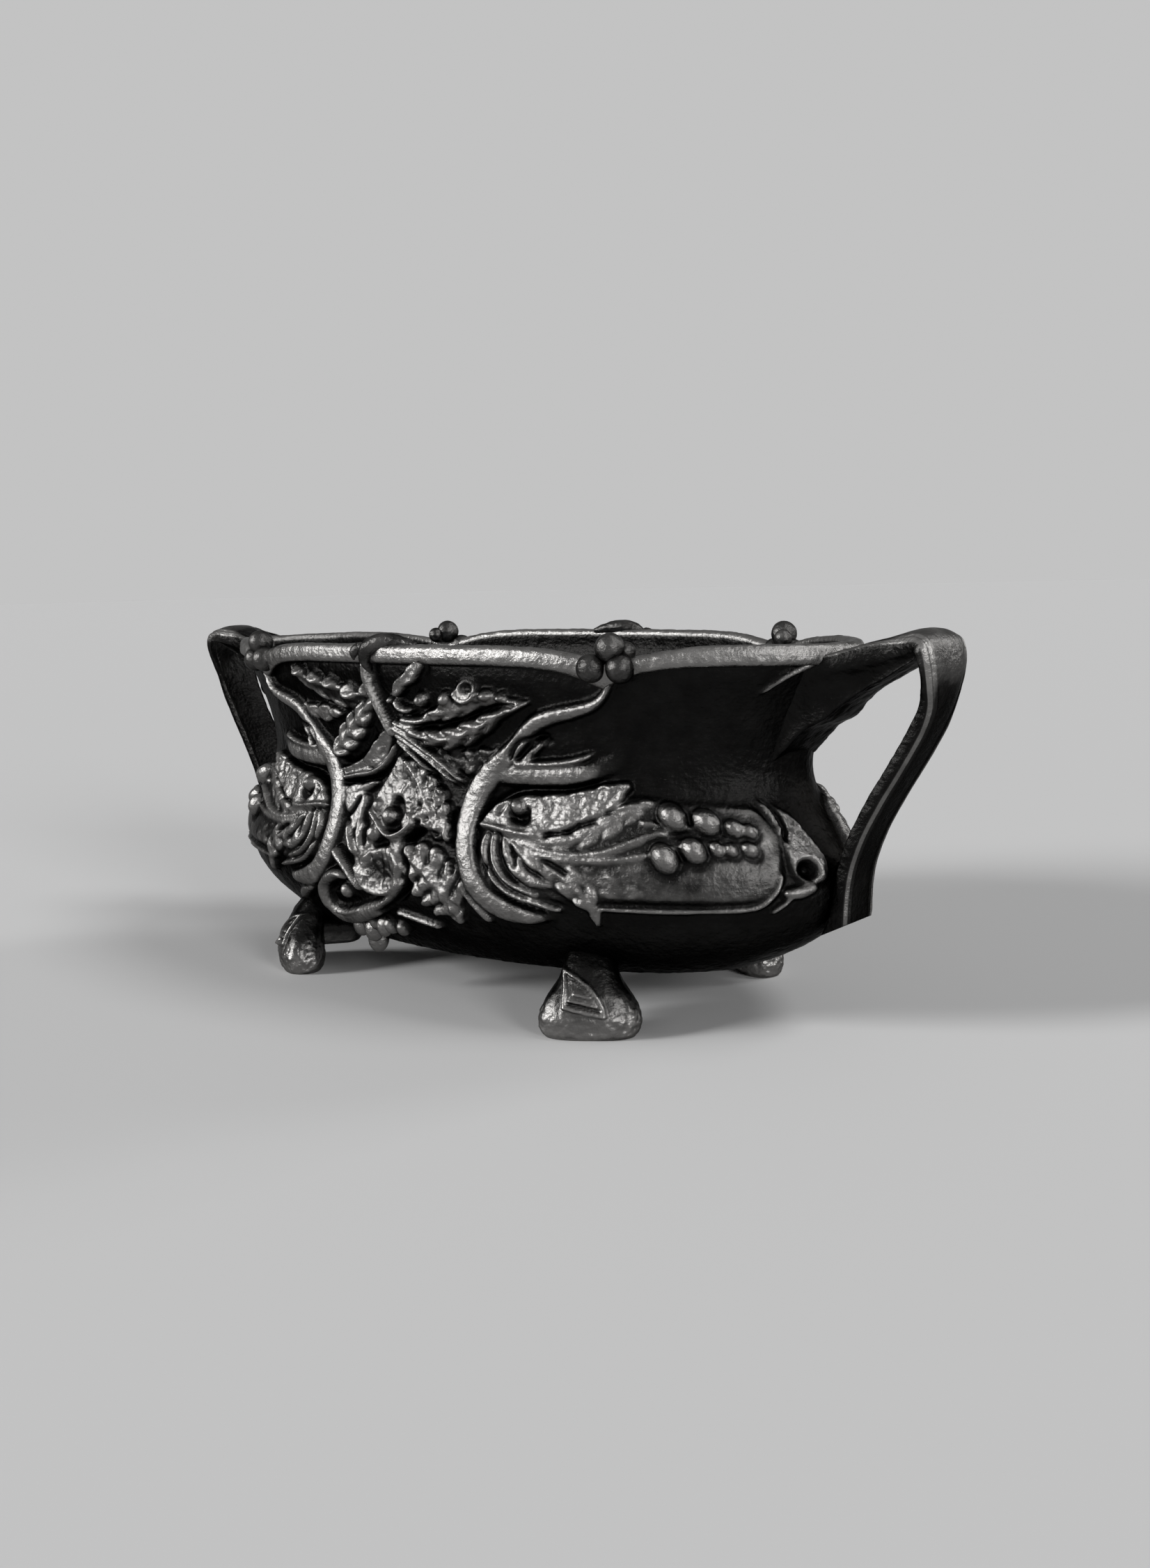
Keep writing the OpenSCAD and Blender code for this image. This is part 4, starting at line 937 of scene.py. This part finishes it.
def handle_loop(width, strap, depth, web, crown):
    """One section as points [across, inward]: crowned and beaded outside, with a web inside."""
    v = np.linspace(-1, 1, FACE_POINTS)
    inset = width * (1 - np.abs(v))
    d = crown * np.abs(v) ** 2.8
    d -= 0.75 * np.exp(-((inset - 1.5) / 0.75) ** 2)
    d -= 0.6 * np.exp(-((inset - 4.2) / 0.8) ** 2)
    d += 0.35 * np.exp(-((inset - 2.9) / 0.5) ** 2)
    face = np.stack([width * v, d], -1)
    t = np.linspace(0, 1, 15)[1:]
    side = np.stack([width + 0.5 * np.sin(np.pi * t), crown + (strap - crown) * t], -1)
    t = np.linspace(0, 1, 17)[1:]
    thick = max(depth - strap, 0.2)
    slope = np.stack([web + (width - web) * (1 - t) ** 2.2, strap + thick * t ** 0.9], -1)
    t = np.linspace(1, -1, 23)[1:-1]
    under = np.stack([web * t, depth + 0.6 * (1 - t ** 2)], -1)
    right = np.concatenate([side, slope])
    left = right[::-1] * [-1, 1]
    return np.concatenate([face, right, under, left[:-1]])


def make_handle(name, sign):
    dense = spline(held(HANDLE), 1.3, 3)
    along = np.gradient(dense[:, :2], axis=0)
    angle = np.unwrap(np.arctan2(along[:, 1], along[:, 0]))
    angle = np.convolve(np.pad(angle, 4, mode="edge"), np.ones(9) / 9, mode="valid")
    angle += np.radians(dense[:, 6])
    rings = []
    for (x, z, width, strap, depth, web, _), a in zip(dense, angle):
        crown = 1.5 + 4 * smooth(x, 232, 258) * smooth(z, 150, 185)
        across, inward = handle_loop(width, strap, depth, web, crown).T
        rings.append(np.stack([x + math.sin(a) * inward, across, z - math.cos(a) * inward], -1))
    grid = np.stack(rings)
    rows, cols = grid.shape[:2]
    push = unit(grid - grid.mean(1, keepdims=True))
    # The face is smoother than the rest. Its edges are painted bright, as rubbing and painted highlight,
    # and the bend is painted bright as a highlight.
    shade = np.where(np.arange(cols) < FACE_POINTS, 0.35, 1)
    bumps = rough(grid, 5, 0.3) + rough(grid + 50, 2.2, 0.2)
    grid = kept_in_wall(grid + push * (bumps * shade)[..., None])
    wear_and_painted_light = np.full((rows, cols), 0.1)
    wear_and_painted_light[:, :FACE_POINTS] = 0.3 + 0.5 * smooth(np.abs(np.linspace(-1, 1, FACE_POINTS)), 0.7, 0.9)
    wear_and_painted_light += 0.45 * smooth(grid[..., 2], 165, 190) * smooth(grid[..., 0], 235, 262)
    points = grid.reshape(-1, 3) * [sign, 1, 1]
    faces = closed_faces(rows, cols)
    if sign > 0:
        faces = [face[::-1] for face in faces]
    obj = make_object(name + "_strap", points, faces, handle_iron, np.clip(wear_and_painted_light, 0, 1).ravel())
    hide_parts(name)
    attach(obj, "planter")


make_handle("handle_right", 1)
make_handle("handle_left", -1)

# Feet: [height, half width, half depth, how far outward]
FOOT = [
    (0, 22.5, 11, 2), (1.2, 24.6, 12.6, 2), (3, 25.8, 13.4, 2), (7, 26.6, 14, 2), (12, 26.2, 13.8, 2),
    (15, 24.8, 13.2, 1.4), (18, 23.2, 12.6, 0.8), (22, 20.6, 12.2, 0), (26, 17.6, 11.4, -1.2),
    (30, 15.4, 10.8, -2.8), (35, 13.6, 10.4, -5), (40, 12, 9.6, -8.5), (45, 9.5, 8, -12), (50, 6, 5, -15)]
FOOT_COLS, FOOT_SQUARE = 176, 0.78
# Where the front right foot stands and how it is turned, and where its bolt goes
FOOT_PLACE = (112, -74, 35)
BOLT_PLACE = (97.087, -52.702)

# The plate on a foot's outer face, and the ridges on it as [points, half width, height]
RELIEF = 0.75
PLATE = [
    (-12.4, 34), (-12, 26), (-12.2, 17.5), (-2, 15), (7.6, 13.2), (7, 17), (3.8, 22.5), (-3, 29),
    (-12.4, 34)]
RIDGES = [
    ([(-12.2, 17.2), (-2, 15), (7.6, 13.2)], 1.6, 2.6),
    ([(7.6, 13.4), (7, 17), (3.8, 22.5), (-3, 29), (-12.4, 34)], 1.4, 2.3),
    ([(-9.4, 20.4), (-2, 19), (4, 17.6)], 0.9, 2.4),
    ([(-7, 23.4), (-3, 22.6), (0.6, 21.8)], 1.0, 2.2),
    ([(4, 17.6), (1.6, 22), (-3.4, 26.4), (-8.6, 29)], 0.8, 1.6)]


def foot_pattern(u, z):
    """Height of the triangular plate on a foot's outer face."""
    p = np.stack([u.ravel(), z.ravel()], -1)

    def line(points, width):
        curve = fine_curve(points, 0.4)
        d = np.linalg.norm(p - curve[nearest(p, curve)], axis=1).reshape(u.shape)
        return np.clip(1 - (d / width) ** 2, 0, 1)

    height = np.where(inside(p, fine_curve(PLATE, 0.5)).reshape(u.shape) > 0, 0.8, 0)
    height = height + 1.7 * line(PLATE[:3], 1.3)
    for points, width, rise in RIDGES:
        height = np.maximum(height, rise * line(points, width))
    return height - 1.3 * line([(-10.4, 18.8), (-2, 17.1), (5.4, 15.4)], 0.9)


def make_foot(name, sx, sy):
    heights, *sizes = np.array(FOOT, float).T
    z = np.concatenate([np.linspace(0, 3, 7)[:-1], np.linspace(3, 50, 75)])
    spread = [np.interp(z, heights, size) for size in sizes]
    for _ in range(3):
        spread = [np.convolve(np.pad(c, 1, mode="edge"), [0.25, 0.5, 0.25], mode="valid") for c in spread]
    wide, deep, out = (c[:, None] for c in spread)
    turn = np.linspace(0, 2 * math.pi, FOOT_COLS, endpoint=False)
    c, s = np.cos(turn), np.sin(turn)
    u = wide * np.sign(c) * np.abs(c) ** FOOT_SQUARE
    v = deep * np.sign(s) * np.abs(s) ** FOOT_SQUARE - out
    zz = z[:, None] + 0 * u
    shaped = RELIEF * foot_pattern(u, zz) * smooth(-s, 0.05, 0.6)
    grid = np.stack([u, v, zz], -1)
    push = unit(np.stack([u / wide ** 2, (v + out) / deep ** 2, 0 * zz], -1))
    toe = 1 - smooth(zz, 13, 20) * 0.75
    bumps = rough(grid + 20, 5, 0.55) * toe + rough(grid + 70, 2.1, 0.4) * toe
    grid = grid + push * ((shaped + bumps - 0.4) * smooth(zz, 0, 1.5))[..., None]
    # Into the planter's frame: turned outward, then moved to its place
    a = math.radians(FOOT_PLACE[2])
    x = FOOT_PLACE[0] + grid[..., 0] * math.cos(a) - grid[..., 1] * math.sin(a)
    y = FOOT_PLACE[1] + grid[..., 0] * math.sin(a) + grid[..., 1] * math.cos(a)
    points = kept_in_wall(np.stack([x, y, grid[..., 2]], -1)).reshape(-1, 3)
    points, faces = join_parts([(points, closed_faces(len(z), FOOT_COLS)), palm()])
    points = points * [sx, sy, 1]
    if sx * sy < 0:
        faces = [face[::-1] for face in faces]
    # Painted shade and highlight: the foot darkens toward its top, in the shade under the belly, and its
    # raised plate is brighter as rubbing and painted highlight.
    wear_and_painted_light = 1.1 - points[:, 2] / 36
    wear_and_painted_light[:shaped.size] += 0.3 * shaped.ravel()
    obj = make_object(name + "_casting", points, faces, foot_iron, np.clip(wear_and_painted_light, 0.1, 0.95))
    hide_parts(name)
    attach(obj, "planter")


def palm():
    """The tapped palm that reaches in under the floor from the foot to its bolt."""
    (ax, ay), (bx, by, _) = BOLT_PLACE, FOOT_PLACE
    direction = math.atan2(by - ay, bx - ax)
    cols = 64
    loop = []
    for j in range(cols):
        turn = 2 * math.pi * (j + 0.5) / cols
        x, y, r = (bx, by, 7.2) if math.cos(turn) > 0 else (ax, ay, 8.8)
        loop.append((x + r * math.cos(turn + direction), y + r * math.sin(turn + direction)))
    middle = np.mean(loop, 0)
    levels = ((13, 0.86), (13.6, 0.93), (15, 0.98), (18, 1), (22, 1), (BASE_Z + 0.2, 1))
    rings = [np.insert(middle + (loop - middle) * share, 2, z, axis=1) for z, share in levels]
    return np.concatenate(rings), closed_faces(len(rings), cols)


for foot_name, sx, sy in (("foot_front_right", 1, 1), ("foot_front_left", -1, 1),
                          ("foot_back_right", 1, -1), ("foot_back_left", -1, -1)):
    make_foot(foot_name, sx, sy)


# Stage, lights and camera
FLOOR = (0.55, 0.55, 0.55)
SKY = (0.16, 0.16, 0.162)
BACKDROP = (0.545, 0.545, 0.545)
FLOOR_HALF = 30000


def make_floor():
    material, _, _ = new_material("floor_pale", Base_Color=(*FLOOR, 1), Roughness=0.9,
                                  Specular_IOR_Level=0.1)
    corners = [(x * FLOOR_HALF, y * FLOOR_HALF, 0) for x, y in ((-1, -1), (1, -1), (1, 1), (-1, 1))]
    floor = make_object("floor", corners, [(0, 1, 2, 3)], material)


def make_world():
    """Even light, seen by the camera and in reflections in about the floor's own tone."""
    world = bpy.data.worlds.new("studio")
    bpy.context.scene.world = world
    world.use_nodes = True
    tree = world.node_tree
    path = tree.nodes.new("ShaderNodeLightPath").outputs
    seen = maths(tree, "MAXIMUM", path["Is Camera Ray"], path["Is Glossy Ray"])
    mix = node(tree, "Mix", "Result", data_type="RGBA", A=(*SKY, 1), B=(*BACKDROP, 1), Factor=seen)
    tree.links.new(mix, tree.nodes["Background"].inputs["Color"])


def sun_light(name, place, strength, spread):
    """Light from a direction, softened over an angle in degrees, so that the floor is lit evenly."""
    data = bpy.data.lights.new(name, "SUN")
    data.energy = strength
    data.angle = math.radians(spread)
    lamp = bpy.data.objects.new(name, data)
    bpy.context.scene.collection.objects.link(lamp)
    lamp.location = place
    lamp.rotation_mode = "QUATERNION"
    lamp.rotation_quaternion = (-Vector(place)).to_track_quat("-Z", "Y")


make_floor()
make_world()
sun_light("key_light", (-0.6, -0.75, 0.36), 3.0, 15)
sun_light("side_light", (0.9, -0.3, 0.3), 1.4, 18)
sun_light("top_light", (0.5, 0.2, 0.8), 1.0, 20)
sun_light("back_light", (0.46, 0.8, 0.33), 0.8, 16)

# The photograph's viewpoint, solved from the object's own points
CAMERA_PLACE = (0.55153, -0.60584, 0.22698)
CAMERA_RIGHT = Vector((0.76796, 0.64009, -0.02271))
CAMERA_UP = Vector((-0.07396, 0.12384, 0.98954))
FOCAL_PX, LONG_SIDE_PX, SENSOR = 2023.1, 2252, 36


def make_camera():
    data = bpy.data.cameras.new("camera")
    data.sensor_width = SENSOR
    data.lens = FOCAL_PX * SENSOR / LONG_SIDE_PX
    data.clip_start = 0.01
    camera = bpy.data.objects.new("camera", data)
    bpy.context.scene.collection.objects.link(camera)
    right = CAMERA_RIGHT.normalized()
    back = right.cross(CAMERA_UP).normalized()
    turn = Matrix((right, back.cross(right), back)).transposed()
    camera.matrix_world = Matrix.Translation(CAMERA_PLACE) @ turn.to_4x4()
    bpy.context.scene.camera = camera


make_camera()
bpy.context.scene.view_settings.view_transform = "Standard"
